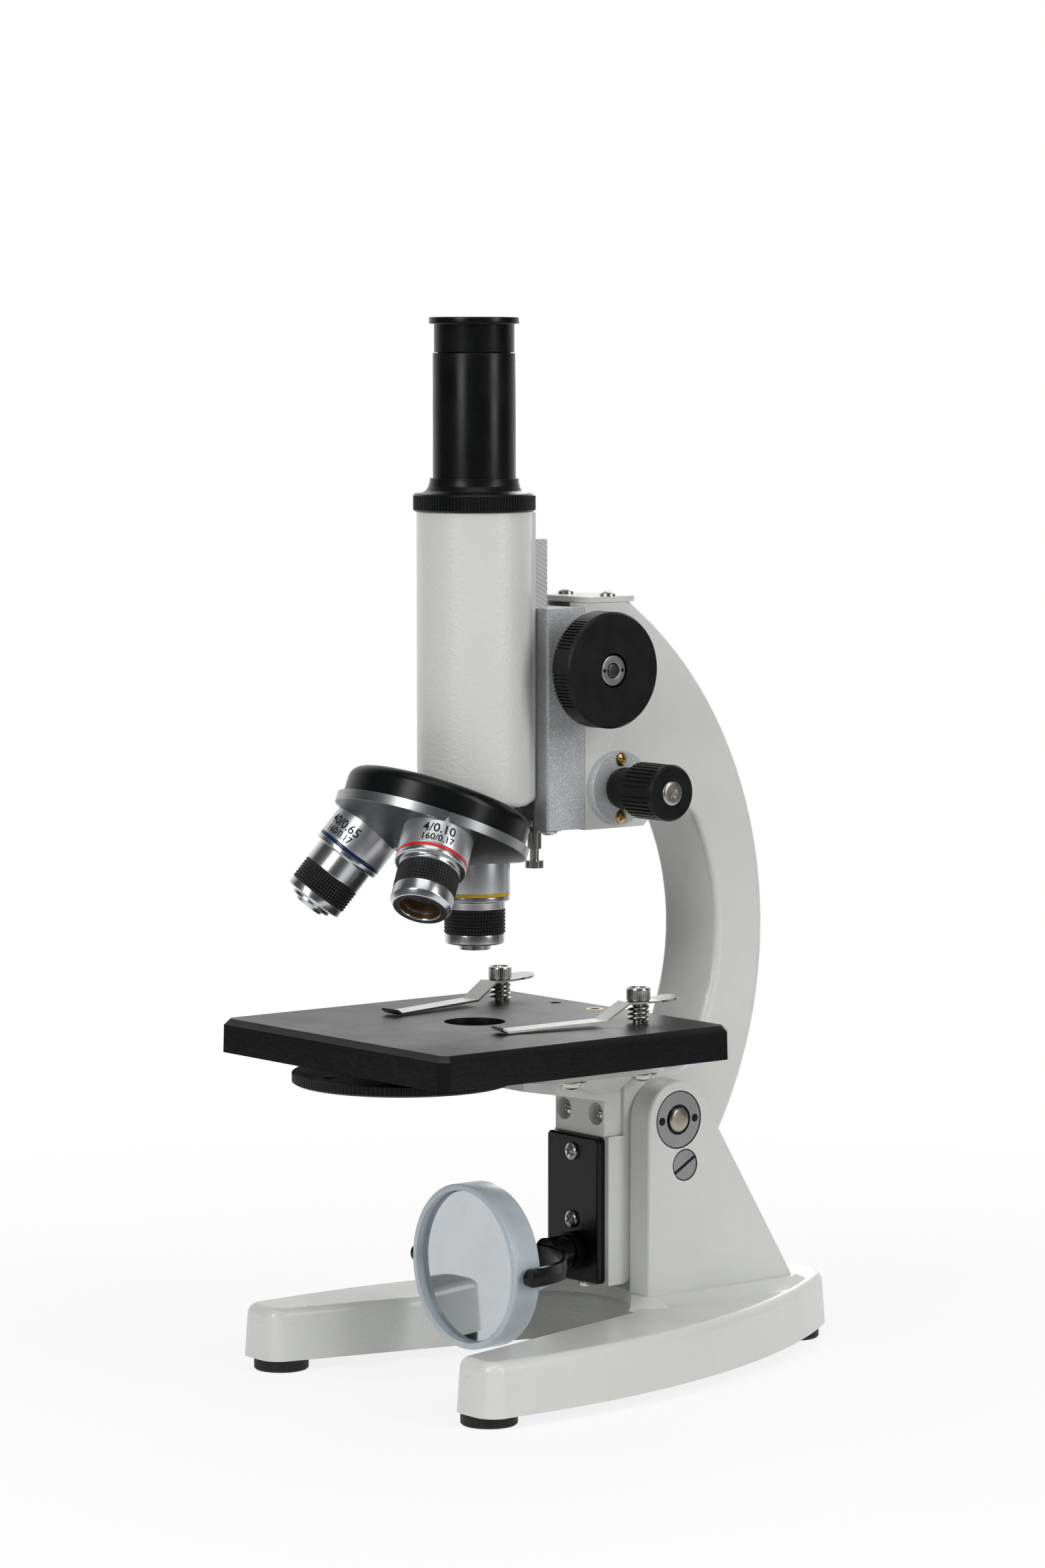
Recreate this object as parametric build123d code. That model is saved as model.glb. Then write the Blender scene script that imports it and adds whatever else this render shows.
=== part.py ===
import os
from math import acos, atan2, cos, degrees, pi, radians, sin, sqrt, tan

from build123d import *

# Sizes in mm. Y runs from front to back and is measured from the optical axis while building.
optic_y = -41.1              # the optical axis in the finished frame
foot_h = 4.0                 # rubber foot height under the base
base_top = 21.5
half_arm = 14.0              # half the arm's width
half_cheek = 24.0            # outside of the cheeks
pivot = (67.2, 82.4)         # tilt hinge, Y and Z
limit_pin = (70.0, 67.0)     # slotted limit screw, Y and Z
stage_half = 60.0
stage_low = 107.4
stage_top = 118.4
clip_at = (36.0, 39.4)       # clip screw, X and Y
clip_turn = 8.4              # clips point inward by this angle
coarse_axis = (30.5, 233.5)  # Y and Z
fine_axis = (48.2, 193.3)
gear_module = 0.6
pinion_teeth = 18
block_front = 19.2
block_low = 180.5
block_high = 252.9
slide_low = 205.0
slide_high = 275.3
tube_r = 18.7
tube_low = 189.3
tube_high = 284.5
apex_z = 226.9               # where the objective axes meet
nose_tilt = 22.0             # nosepiece axis against the optical axis, degrees
seat = 57.0                  # objective shoulder from the apex
mount_top = -35.5            # top of the nosepiece disc along its axis, from the apex
disc_at = (0.0, -29.5)       # diaphragm centre, X and Y
disc_r = 35.6
disc_low = 101.4             # underside of the diaphragm disc
mirror_z = 38.0

os.makedirs("parts", exist_ok=True)


def save(node, shape):
    export_step(Pos(0, optic_y, 0) * shape, "parts/" + node + ".step")


def block(x0, x1, y0, y1, z0, z1):
    return Pos((x0 + x1) / 2, (y0 + y1) / 2, (z0 + z1) / 2) * Box(x1 - x0, y1 - y0, z1 - z0)


def rod(radius, start, end):
    """Round bar between two points."""
    axis = Vector(*end) - Vector(*start)
    plane = Plane(origin=start, z_dir=axis.normalized())
    return plane * Cylinder(radius, axis.length, align=(Align.CENTER, Align.CENTER, Align.MIN))


def turned(points, plane=Plane.XY):
    """Revolve a closed outline of (radius, height) points about the plane's normal."""
    outline = Plane.XZ * make_face(Polyline(*points, close=True))
    return plane * revolve(outline, Axis.Z)


def side_plate(points, x0, x1):
    """Extrude a closed (Y, Z) outline between two X positions."""
    outline = Plane.YZ * make_face(Polyline(*points, close=True))
    return Pos(x0, 0, 0) * extrude(outline, x1 - x0)


def group(shapes):
    solids = [solid for shape in shapes for solid in shape.solids()]
    return Compound(children=solids)


def both_sides(shape):
    return group([shape, mirror(shape, Plane.YZ)])


def cut(body, tools):
    """Take every solid of a group out of a body."""
    for tool in tools.solids():
        body -= tool
    return body


def pan_screw(at, direction, head_r, shank_r, length):
    """Domed screw whose head stands out of the point along the direction."""
    head_h = head_r * 0.62
    outline = [(0, -length), (shank_r, -length), (shank_r, 0), (head_r, 0), (head_r, head_h * 0.45),
               (head_r * 0.75, head_h * 0.85), (head_r * 0.35, head_h), (0, head_h)]
    return turned(outline, Plane(origin=at, z_dir=direction))


def screw_set(places, direction, head_r, shank_r, length):
    """Equal screws and the slightly wider holes they sit in."""
    room = 0.05
    screws = group([pan_screw(at, direction, head_r, shank_r, length) for at in places])
    holes = group([pan_screw(at, direction, head_r + room, shank_r + room, length + room) for at in places])
    return screws, holes


def ribbed_disc(radius, depth, slots, keep, plane, height):
    """Grip disc: a round outline with narrow grooves at the kept positions."""
    points = []
    for i in range(slots):
        a = 2 * pi * i / slots
        step = 2 * pi / slots
        points.append((radius * cos(a), radius * sin(a)))
        points.append((radius * cos(a + 0.5 * step), radius * sin(a + 0.5 * step)))
        inner = radius - depth if keep(i) else radius
        points.append((inner * cos(a + 0.6 * step), inner * sin(a + 0.6 * step)))
        points.append((inner * cos(a + 0.9 * step), inner * sin(a + 0.9 * step)))
    return plane * extrude(make_face(Polyline(*points, close=True)), height)


# Base casting: horseshoe legs, rear bow, flared saddle and two cheeks.
def base_outline():
    outer = ThreePointArc((67.6, -36), (58.8, 52.5), (18.2, 137.9))
    rear = ThreePointArc((18.2, 137.9), (0, 147.3), (-18.2, 137.9))
    far = ThreePointArc((-18.2, 137.9), (-58.8, 52.5), (-67.6, -36))
    far_tip = Polyline((-67.6, -36), (-67.6, -47.7), (-47.8, -47.7), (-26, 42))
    bay = ThreePointArc((-26, 42), (0, 58), (26, 42))
    near_tip = Polyline((26, 42), (47.8, -47.7), (67.6, -47.7), (67.6, -36))
    face = make_face(outer + rear + far + far_tip + bay + near_tip)
    tips = face.vertices().filter_by_position(Axis.Y, -48, -47)
    return fillet(tips, 7.0)


def cheek():
    y, z = pivot
    radius = 13.0
    lean = radians(31.9)
    back = (y + radius * cos(lean), z + radius * sin(lean))
    foot = (back[0] + (back[1] - 20) * tan(lean), 20)
    outline = Polyline((y - radius, z), (y - radius, 20), foot, back)
    crown = ThreePointArc(back, (y - radius * 0.26, z + radius * 0.966), (y - radius, z))
    plate = extrude(Plane.YZ * make_face(outline + crown), half_cheek - half_arm - 0.5)
    plate = Pos(half_arm + 0.5, 0, 0) * plate
    outer = plate.faces().sort_by(Axis.X)[-1]
    return fillet(outer.edges().filter_by(lambda e: e.center().Z > 21), 1.2)


def base_casting():
    outline = base_outline()
    body = extrude(Pos(0, 0, foot_h) * outline, base_top - foot_h, taper=4)
    body = fillet(body.faces().sort_by(Axis.Z)[-1].edges(), 3.5)
    saddle_low = Pos(0, 88, base_top - 1) * RectangleRounded(66, 84, 12)
    saddle_high = Pos(0, 86.5, base_top + 3) * RectangleRounded(52, 68, 4)
    saddle = loft([saddle_low, saddle_high])
    notch = Polyline((-26, 42), (-26, 30), (26, 30), (26, 42))
    bay = make_face(notch + ThreePointArc((26, 42), (0, 58), (-26, 42)))
    body += saddle - extrude(bay, 40)
    hollow = extrude(Pos(0, 0, foot_h - 0.5) * offset(outline, -5), 11)
    bosses = [Pos(x, y, foot_h) * Cylinder(9, 12, align=(Align.CENTER, Align.CENTER, Align.MIN))
              for x, y in feet_at()]
    body -= hollow
    for boss in bosses:
        body += boss
    near = cheek()
    body += near
    body += mirror(near, Plane.YZ)
    y, z = pivot
    ly, lz = limit_pin
    body -= rod(5.05, (-40, y, z), (40, y, z))
    body -= rod(2.5, (-40, ly, lz), (40, ly, lz))
    for side in (-1, 1):
        body -= rod(9.35, (side * (half_cheek - 3), y, z), (side * 40, y, z))
        body -= rod(5.0, (side * (half_cheek - 2.5), ly, lz), (side * 40, ly, lz))
    return body


def feet_at():
    return [(-55.3, -38.2), (55.3, -38.2), (-11.5, 129.5), (11.5, 129.5)]


def rubber_feet():
    profile = [(0, 0), (8.6, 0), (9.1, 0.5), (9.1, foot_h), (3, foot_h), (3, foot_h + 5), (0, foot_h + 5)]
    return group([Pos(x, y, 0) * turned(profile) for x, y in feet_at()])


base = base_casting()
feet = rubber_feet()
base = cut(base, feet)
save("base_casting", base)
save("rubber_feet", feet)

# Tilt hinge: pin, flush spanner nuts and slotted limit screws.
hinge_y, hinge_z = pivot
hinge_pin = rod(5.0, (-22.5, hinge_y, hinge_z), (22.5, hinge_y, hinge_z))
hinge_pin += rod(4.0, (-24.2, hinge_y, hinge_z), (24.2, hinge_y, hinge_z))


def spanner_nut(at, radius, thick, bore, hole_r):
    """Flat ring nut facing +X with two pin holes."""
    x, y, z = at
    nut = rod(radius, at, (x + thick, y, z)) - rod(bore, (x - 1, y, z), (x + thick + 1, y, z))
    for side in (-1, 1):
        off = side * (radius + bore) / 2
        nut -= rod(hole_r, (x + thick * 0.4, y + off, z), (x + thick + 1, y + off, z))
    return nut


hinge_nut = spanner_nut((half_cheek - 3, hinge_y, hinge_z), 9.3, 2.9, 5.05, 1.0)
limit_screw = rod(4.95, (half_cheek - 2.5, *limit_pin), (half_cheek - 0.1, *limit_pin))
limit_screw += rod(2.45, (9.5, *limit_pin), (half_cheek - 2.5, *limit_pin))
slot = Pos(half_cheek, *limit_pin) * Rot(30, 0, 0) * Box(1.6, 12, 1.1)
save("hinge_pin", hinge_pin)
save("hinge_nuts", both_sides(hinge_nut))
save("limit_screws", both_sides(limit_screw - slot))


# Arm casting: head, curved limbs of two radii, bracket seat and tail.
def arm_inside(z):
    return 12.4 + sqrt(80.2 ** 2 - (z - 143.4) ** 2)


def in_the_crook(edge):
    at = edge.center()
    return 64 < at.Y < 95 and 97 < at.Z < 187 and abs(at.X) > half_arm - 0.1


def arm_casting():
    back = ThreePointArc((55.2, 254.2), (113.4, 143.6), (88.7, 66))
    heel = Polyline((88.7, 66), (78, 55), (55, 55), (55, 31.7))
    toe = ThreePointArc((55, 31.7), (53.8, 28.9), (51, 27.7))
    ledge = Polyline((51, 27.7), (45.3, 27.7), (45.3, 77.4), (52.1, 77.4), (52.1, 98), (arm_inside(98), 98))
    inside = ThreePointArc((arm_inside(98), 98), (92.6, 143.4), (arm_inside(185.5), 185.5))
    head = Polyline((arm_inside(185.5), 185.5), (66, 185.5), (60, 180), (35, 180), (35, 254.2), (55.2, 254.2))
    face = make_face(back + heel + toe + ledge + inside + head)
    crook = [v for v in face.vertices() if v.X > 68 and (abs(v.Y - 98) < 0.1 or abs(v.Y - 185.5) < 0.1)]
    face = fillet(crook, 9)
    body = extrude(Plane.YZ * face, half_arm, both=True)
    body = fillet(body.edges().filter_by(in_the_crook), 2.5)
    body = fillet(body.edges().filter_by(lambda e: e.length > 200), 2.5)
    guide = make_face(Polyline((-6, 34), (6, 34), (6, 35), (8, 43), (-8, 43), (-6, 35), close=True))
    body -= Pos(0, 0, 184) * extrude(guide, 80)
    body -= block(-8, 8, 42.9, 57, 184, 213)
    fy, fz = fine_axis
    body -= rod(3.06, (-30, fy, fz), (30, fy, fz))
    y, z = pivot
    body -= rod(5.05, (-30, y, z), (30, y, z))
    for side in (-1, 1):
        body -= limit_slot(side)
    return body


def limit_slot(side):
    """Curved groove in the arm's side that runs along the limit pin while the arm tilts."""
    y, z = pivot
    ly, lz = limit_pin
    reach = sqrt((ly - y) ** 2 + (lz - z) ** 2)
    start = degrees(atan2(lz - z, ly - y))
    ring = turned([(reach - 3, 0), (reach + 3, 0), (reach + 3, 5.2), (reach - 3, 5.2)],
                  Plane(origin=(9.0, y, z), x_dir=(0, 1, 0), z_dir=(1, 0, 0)))
    wedge_points = [(0, 0)]
    for i in range(6):
        a = radians(start - 12 + i * 69 / 5)
        wedge_points.append((40 * cos(a), 40 * sin(a)))
    wedge = Plane(origin=(8.0, y, z), x_dir=(0, 1, 0), z_dir=(1, 0, 0)) * extrude(
        make_face(Polyline(*wedge_points, close=True)), 8)
    groove = ring & wedge
    return groove if side > 0 else mirror(groove, Plane.YZ)


arm = arm_casting()

# Head cover plate over the fine-focus guide.
cover = block(-half_arm, half_arm, 36.8, 58.6, 254.3, 256.1)
cover = fillet(cover.edges().filter_by(Axis.Z).group_by(Axis.Y)[-1], 5)
cover_places = [(x, 47.2, 256.1) for x in (-10.8, 10.8)]
cover_screws, cover_holes = screw_set(cover_places, (0, 0, 1), 2.6, 1.4, 9)
arm = cut(arm, cover_holes)
cover = cut(cover, cover_holes)
save("head_cover", cover)
save("cover_screws", cover_screws)

# Fine-focus flanges on both sides of the head.
fine_y, fine_z = fine_axis
flange = rod(12.15, (half_arm + 0.05, fine_y, fine_z), (16.6, fine_y, fine_z))
flange = chamfer(flange.faces().sort_by(Axis.X)[-1].edges(), 0.5)
flange -= rod(3.06, (0, fine_y, fine_z), (30, fine_y, fine_z))
flange_places = [(16.0, fine_y, fine_z + dz) for dz in (-9.4, 9.4)]
flange_screws, flange_holes = screw_set(flange_places, (1, 0, 0), 2.3, 1.2, 7)
flange = cut(flange, flange_holes)
arm = cut(arm, both_sides(flange_holes))
save("fine_flanges", both_sides(flange))
save("fine_flange_screws", both_sides(flange_screws))


# Stage bracket: foot on the arm, tapered web and forked plate under the stage.
def stage_bracket():
    plate = block(-25, 25, 10, 60, 99.2, 104.4)
    plate = fillet(plate.edges().filter_by(Axis.Z).group_by(Axis.Y)[0], 8)
    plate -= block(-14.6, 14.6, 52, 61, 98, 106)
    foot = block(-12.65, 12.65, 44.5, 52.0, 77.5, 99.3)
    web = side_plate([(46, 89.2), (46, 99.3), (10, 99.3), (10, 95.8)], -12.65, 12.65)
    gusset = loft([Pos(0, 36, 99.3) * Rectangle(44, 30), Pos(0, 45.5, 91.5) * Rectangle(25.3, 8)])
    body = plate + foot + web + gusset
    for x in (-8.3, 8.3):
        body -= rod(3.8, (x, 40, 84.7), (x, 47.5, 84.7))
    return body


bracket = stage_bracket()
bracket_places = [(x, 47.6, 84.7) for x in (-8.3, 8.3)]
bracket_screws, bracket_holes = screw_set(bracket_places, (0, -1, 0), 2.9, 1.6, 11)
stage_screw_at = [(-20, 24), (20, 24), (-20, 54.5), (20, 54.5)]
screw_outline = [(0, 96.0), (1.2, 96.0), (2.6, 96.5), (3.2, 97.4), (3.2, 98.2), (5.3, 98.2), (5.3, 99.1),
                 (1.6, 99.1), (1.6, 109), (0, 109)]
stage_screws = group([turned(screw_outline, Plane(origin=(x, y, 0))) for x, y in stage_screw_at])
bracket = cut(bracket, bracket_holes)
bracket = cut(bracket, stage_screws)
arm = cut(arm, bracket_holes)
save("stage_bracket", bracket)
save("bracket_screws", bracket_screws)
save("stage_screws", stage_screws)


# Stage plate: hollow moulding with skirt, bosses, aperture and accessory holes.
def stage_plate():
    outline = chamfer(Rectangle(2 * stage_half, 2 * stage_half).vertices(), 3.0)
    body = extrude(Pos(0, 0, stage_low) * outline, stage_top - stage_low, taper=1.5)
    body = chamfer(body.faces().sort_by(Axis.Z)[-1].edges(), 1.9)
    inner = chamfer(Rectangle(2 * stage_half - 7, 2 * stage_half - 7).vertices(), 2.0)
    body -= extrude(Pos(0, 0, stage_low - 1) * inner, stage_top - stage_low - 3)
    for x, y in stage_screw_at:
        body += rod(5, (x, y, 104.5), (x, y, 115))
    for x in (-clip_at[0], clip_at[0]):
        body += rod(5, (x, clip_at[1], stage_low), (x, clip_at[1], 115))
    body += rod(6, (*disc_at, disc_low + 4.6), (*disc_at, 115))
    body += rod(14, (0, 0, stage_low), (0, 0, 115))
    for x in (-20, 20):
        body += block(x - 1.2, x + 1.2, -57, 57, stage_low + 2, 115)
    for y in (-40, 40):
        body += block(-57, 57, y - 1.2, y + 1.2, stage_low + 2, 115)
    body -= rod(10.05, (0, 0, 100), (0, 0, 120))
    body -= rod(1.9, (-20, 50.5, 112), (-20, 50.5, 120))
    return body


stage = stage_plate()
plug = rod(2.9, (0, 51, 113), (0, 51, stage_top))
insert = plug - rod(1.6, (0, 51, 112), (0, 51, 119))
clip_screw = turned([(0, 110), (1.95, 110), (1.95, 125.75), (3.9, 125.75), (3.9, 129.8), (3.6, 130.1),
                     (2.0, 130.1), (2.0, 127.6), (0, 127.6)], Plane(origin=(*clip_at, 0)))
clip_screws = both_sides(clip_screw)
disc_pivot = turned([(0, -2.2), (4.2, -2.2), (4.2, -0.8), (2.5, -0.4), (2.5, 10.6), (0, 10.6)],
                    Plane(origin=(*disc_at, disc_low)))
stage -= plug
stage = cut(stage, clip_screws)
stage = cut(stage, stage_screws)
stage -= disc_pivot
save("stage_plate", stage)
save("stage_insert", insert)
save("clip_screws", clip_screws)
save("diaphragm_pivot", disc_pivot)

# Diaphragm disc with six apertures on a circle through the optical axis.
disc = turned([(2.6, 0), (disc_r - 0.6, 0), (disc_r, 0.6), (disc_r, 3.2), (disc_r - 0.6, 3.8), (2.6, 3.8)],
              Plane(origin=(*disc_at, disc_low)))
for i, aperture in enumerate((5.0, 4.0, 3.0, 2.2, 1.5, 1.0)):
    a = radians(90 + 60 * i)
    hole_x = disc_at[0] - disc_at[1] * cos(a)
    hole_y = disc_at[1] - disc_at[1] * sin(a)
    disc -= rod(aperture, (hole_x, hole_y, disc_low - 1), (hole_x, hole_y, disc_low + 5))
save("diaphragm_disc", disc)

# Stage clips, their springs and the upturned tips.
clip_x, clip_y = clip_at
clip_line = [(-15, 126.5), (-6, 125.35), (5.5, 125.35), (14.5, 120.1), (51, 119.2), (53.2, 120.4)]


def stage_clip(side):
    low = [(-s, z - 0.35) for s, z in clip_line]
    high = [(-s, z + 0.35) for s, z in reversed(clip_line)]
    strip = side_plate(low + high, -6, 6)
    plan = Pos(0, 4) * Rectangle(7.4, 8) + Pos(0, -27) * Rectangle(7.4, 56) + Pos(0, 9.8) * Circle(4.9)
    strip = strip & extrude(plan, 140)
    strip -= rod(2.04, (0, 0, 110), (0, 0, 140))
    return Pos(side * clip_x, clip_y, 0) * Rot(0, 0, -side * clip_turn) * strip


def quarter_arcs(start, start_dir, end, end_dir):
    """Two arcs with one tangent where they meet."""
    reach = end - start
    total = start_dir + end_dir
    turn = start_dir.dot(end_dir) - 1
    along = reach.dot(total)
    d = (along - sqrt(along ** 2 - 2 * turn * reach.dot(reach))) / (2 * turn)
    meet = (start + start_dir * d + end - end_dir * d) * 0.5
    middle = (end - end_dir * d - start - start_dir * d).normalized()
    return [TangentArc(start, meet, tangent=start_dir), TangentArc(meet, end, tangent=middle)]


spring_r = 3.1
spring_wire = 0.5
spring_pitch = 1.5
spring_turns = 3.5
spring_low = stage_top + 0.6


def spring_point(turn):
    a = 2 * pi * turn
    return Vector(spring_r * cos(a), spring_r * sin(a), spring_low + spring_pitch * turn)


def spring_dir(turn):
    a = 2 * pi * turn
    return Vector(-sin(a), cos(a), spring_pitch / (2 * pi * spring_r)).normalized()


def clip_spring():
    arcs = []
    for i in range(round(spring_turns * 4)):
        t0, t1 = i / 4, (i + 1) / 4
        arcs += quarter_arcs(spring_point(t0), spring_dir(t0), spring_point(t1), spring_dir(t1))
    path = Wire(arcs)
    section = Plane(origin=spring_point(0), z_dir=spring_dir(0)) * Circle(spring_wire)
    return sweep(section, path=path)


def spring_gap():
    steps = 60
    count = round(spring_turns * steps)
    points = [spring_point(i / steps) for i in range(count + 1)]
    return min((points[i] - points[j]).length for i in range(count + 1)
               for j in range(i + steps // 2, count + 1)) - 2 * spring_wire


print("least gap of a clip spring to itself, mm:", round(spring_gap(), 3))
save("clip_right", stage_clip(1))
save("clip_left", stage_clip(-1))
spring = Pos(clip_x, clip_y, 0) * clip_spring()
save("clip_springs", group([spring, Pos(-2 * clip_x, 0, 0) * spring]))

# Mirror plate on the tail, its screws and the screw under the tail.
mirror_plate = block(-14.4, 12.1, 42.2, 45.25, 27.9, 77.0)
mirror_plate = fillet(mirror_plate.edges().filter_by(Axis.Y), 1.8)
mirror_plate = fillet(mirror_plate.faces().sort_by(Axis.Y)[0].edges(), 0.8)
mirror_plate += rod(6.5, (0, 38.4, mirror_z), (0, 43, mirror_z))
mirror_plate -= rod(4.05, (0, 30, mirror_z), (0, 50, mirror_z))
plate_screws, plate_holes = screw_set([(-1, 42.2, z) for z in (48.5, 71.3)], (0, -1, 0), 2.9, 1.5, 10)
tail_screw, tail_hole = screw_set([(0, 47.5, 27.0)], (0, 0, -1), 2.9, 1.5, 5.5)
mirror_plate = cut(mirror_plate, plate_holes)
arm = cut(arm, plate_holes)
arm = cut(arm, tail_hole)
arm -= rod(4.05, (0, 40, mirror_z), (0, 49, mirror_z))
save("mirror_plate", mirror_plate)
save("mirror_plate_screws", plate_screws)
save("tail_screw", tail_screw)
save("arm_casting", arm)


# Mirror fork: half ring on a stem, with pins into the mirror frame.
def mirror_fork():
    ring = turned([(28.8, -3.0), (30.6, -3.0), (30.9, 0), (30.6, 3.0), (28.8, 3.0)],
                  Plane(origin=(0, 0, mirror_z)))
    fork = ring & block(-40, 40, 0, 40, 0, 80)
    fork += rod(4.0, (0, 29.8, mirror_z), (0, 48.5, mirror_z))
    fork += rod(5.6, (0, 29.8, mirror_z), (0, 38.2, mirror_z))
    for side in (-1, 1):
        fork += rod(3.0, (side * 28.8, 0, mirror_z), (side * 30.7, 0, mirror_z))
        fork += rod(1.5, (side * 25.6, 0, mirror_z), (side * 29.6, 0, mirror_z))
    return fork


face_on = Plane(origin=(0, 0, mirror_z), x_dir=(1, 0, 0), z_dir=(0, 1, 0))
mirror_frame = turned([(25.05, -4.9), (26.6, -4.9), (27.2, -4.3), (27.2, 4.9), (26.6, 5.6), (25.05, 5.6),
                       (25.05, 0.6), (24, 0.6), (24, 0.2), (25.05, 0.2)], face_on)
for side in (-1, 1):
    mirror_frame -= rod(1.55, (side * 25.2, 0, mirror_z), (side * 30, 0, mirror_z))
plane_glass = turned([(0, -2.4), (24.6, -2.4), (25.0, -2.0), (25.0, 0.15), (0, 0.15)], face_on)
concave_glass = turned([(0, 0.65), (25.0, 0.65), (25.0, 3.9), (23, 3.5), (17, 2.6), (9, 1.95), (0, 1.7)],
                       face_on)
pin_room = both_sides(rod(1.9, (24.1, 0, mirror_z), (40, 0, mirror_z)))
save("mirror_fork", mirror_fork())
save("mirror_frame", mirror_frame)
save("mirror_plane", cut(plane_glass, pin_room))
save("mirror_concave", cut(concave_glass, pin_room))


# Focus block: front dovetail groove, rack slot, pinion bore, rear guide tongue and lifting foot.
coarse_y, coarse_z = coarse_axis
pitch_r = gear_module * pinion_teeth / 2


def focus_block():
    body = block(-half_arm, half_arm, block_front, 34.85, block_low, block_high)
    body = chamfer(body.edges().filter_by(Axis.Z).group_by(Axis.Y)[0], 0.6)
    tongue = make_face(Polyline((-5.94, 34), (5.94, 34), (5.94, 34.9), (7.93, 42.9), (-7.93, 42.9),
                                (-5.94, 34.9), close=True))
    body += Pos(0, 0, 186) * extrude(tongue, 64)
    body += block(-5, 5, 42.5, 54, 199.1, 205)
    body -= block(-5.6, 5.6, 40.6, 43.5, 184, 199.1)
    groove = make_face(Polyline((-7.1, 18), (7.1, 18), (7.1, 19.2), (9.1, 23.1), (-9.1, 23.1), (-7.1, 19.2),
                                close=True))
    body -= Pos(0, 0, 170) * extrude(groove, 100)
    body -= block(-6.4, 6.4, 22, 26.2, 170, 270)
    body -= rod(6.4, (-6.6, coarse_y, coarse_z), (6.6, coarse_y, coarse_z))
    body -= rod(3.05, (-20, coarse_y, coarse_z), (20, coarse_y, coarse_z))
    return body


focus = focus_block()
tab = block(-5, 5, 20.6, 34, 179.2, 180.45)
tab = fillet(tab.edges().filter_by(Axis.Z), 3)
tab_screw, tab_hole = screw_set([(0, 31, 179.2)], (0, 0, -1), 2.9, 1.4, 8)
tab = cut(tab, tab_hole)
tab -= rod(1.55, (0, 25, 170), (0, 25, 190))
focus = cut(focus, tab_hole)
focus -= rod(1.85, (0, 25, 170), (0, 25, 192))
lock_nut = ribbed_disc(2.3, 0.25, 16, lambda i: True, Plane(origin=(0, 25, 173.5)), 5.4)
lock_nut -= rod(1.55, (0, 25, 170), (0, 25, 190))
stop_screw = rod(1.5, (0, 25, 169), (0, 25, 183.5))
stop_screw += ribbed_disc(3.0, 0.3, 20, lambda i: True, Plane(origin=(0, 25, 167.2)), 2.4)
save("focus_block", focus)
save("stop_tab", tab)
save("stop_tab_screw", tab_screw)
save("stop_lock_nut", lock_nut)
save("stop_screw", stop_screw)


# Coarse drive: an involute pinion in one piece with its shaft, knobs and spanner nuts.
def involute(angle):
    return tan(angle) - angle


def pinion_outline():
    base_r = pitch_r * cos(radians(20))
    half = pi / (2 * pinion_teeth) - 0.08 / pitch_r + involute(radians(20))
    points = []
    for i in range(pinion_teeth):
        centre = pi + 2 * pi * i / pinion_teeth
        flank = []
        for r in (4.6, base_r, (base_r + pitch_r) / 2, pitch_r, 5.9):
            a = half - involute(acos(min(1.0, base_r / r)))
            flank.append((r, a))
        points += [(r * cos(centre - a), r * sin(centre - a)) for r, a in flank]
        points += [(r * cos(centre + a), r * sin(centre + a)) for r, a in reversed(flank)]
    return make_face(Polyline(*points, close=True))


across = Plane(origin=(-6, coarse_y, coarse_z), x_dir=(0, 1, 0), z_dir=(1, 0, 0))
coarse_shaft = across * extrude(pinion_outline(), 12)
coarse_shaft += rod(3.0, (-33.6, coarse_y, coarse_z), (33.6, coarse_y, coarse_z))
knob_face = Plane(origin=(25.6, coarse_y, coarse_z), x_dir=(0, 1, 0), z_dir=(1, 0, 0))
coarse_knob = ribbed_disc(18.9, 0.55, 96, lambda i: i % 16 < 10, knob_face, 7.2)
coarse_knob += turned([(3.05, 7.0), (18.9, 7.0), (18.9, 7.5), (18.2, 8.4), (5.6, 8.4), (5.6, 5.2),
                       (3.05, 5.2)], knob_face)
coarse_knob += turned([(3.05, -11.1), (8, -11.1), (8, 1), (3.05, 1)], knob_face)
coarse_knob -= rod(3.02, (10, coarse_y, coarse_z), (40, coarse_y, coarse_z))
coarse_knob -= rod(5.6, (30.8, coarse_y, coarse_z), (40, coarse_y, coarse_z))
coarse_nut = spanner_nut((30.85, coarse_y, coarse_z), 5.0, 2.5, 3.05, 0.7)
save("coarse_pinion", coarse_shaft)
save("coarse_knobs", both_sides(coarse_knob))
save("coarse_nuts", both_sides(coarse_nut))


# Fine drive: shaft with a snail cam under the lifting foot, ribbed knobs and end screws.
def snail_cam():
    points = []
    for i in range(61):
        turn = -60 + 300 * i / 60
        r = 5.5 + (90 - turn) / 150
        points.append((r * cos(radians(turn)), r * sin(radians(turn))))
    return make_face(Polyline(*points, close=True))


fine_shaft = Plane(origin=(-4.5, fine_y, fine_z), x_dir=(0, 1, 0), z_dir=(1, 0, 0)) * extrude(snail_cam(), 9)
fine_shaft += rod(3.0, (-36, fine_y, fine_z), (36, fine_y, fine_z))
fine_face = Plane(origin=(27, fine_y, fine_z), x_dir=(0, 1, 0), z_dir=(1, 0, 0))
fine_knob = ribbed_disc(9.25, 0.45, 36, lambda i: i % 9 < 8, fine_face, 13.6)
fine_knob += turned([(3.5, 13.4), (9.25, 13.4), (9.25, 14.6), (8.6, 15.4), (3.5, 15.4)], fine_face)
fine_knob += turned([(3.05, -10), (6.6, -10), (7.0, -8), (7.0, 1), (3.05, 1)], fine_face)
fine_knob -= rod(3.02, (10, fine_y, fine_z), (36.2, fine_y, fine_z))
fine_screw = turned([(0, 5), (1.6, 5), (1.6, 14.2), (4.0, 15.0), (4.0, 15.6), (0, 15.9)], fine_face)
fine_knob -= rod(4.05, (41.2, fine_y, fine_z), (50, fine_y, fine_z))
fine_knob -= fine_screw
fine_shaft = cut(fine_shaft, both_sides(fine_screw))
save("fine_shaft", fine_shaft)
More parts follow.
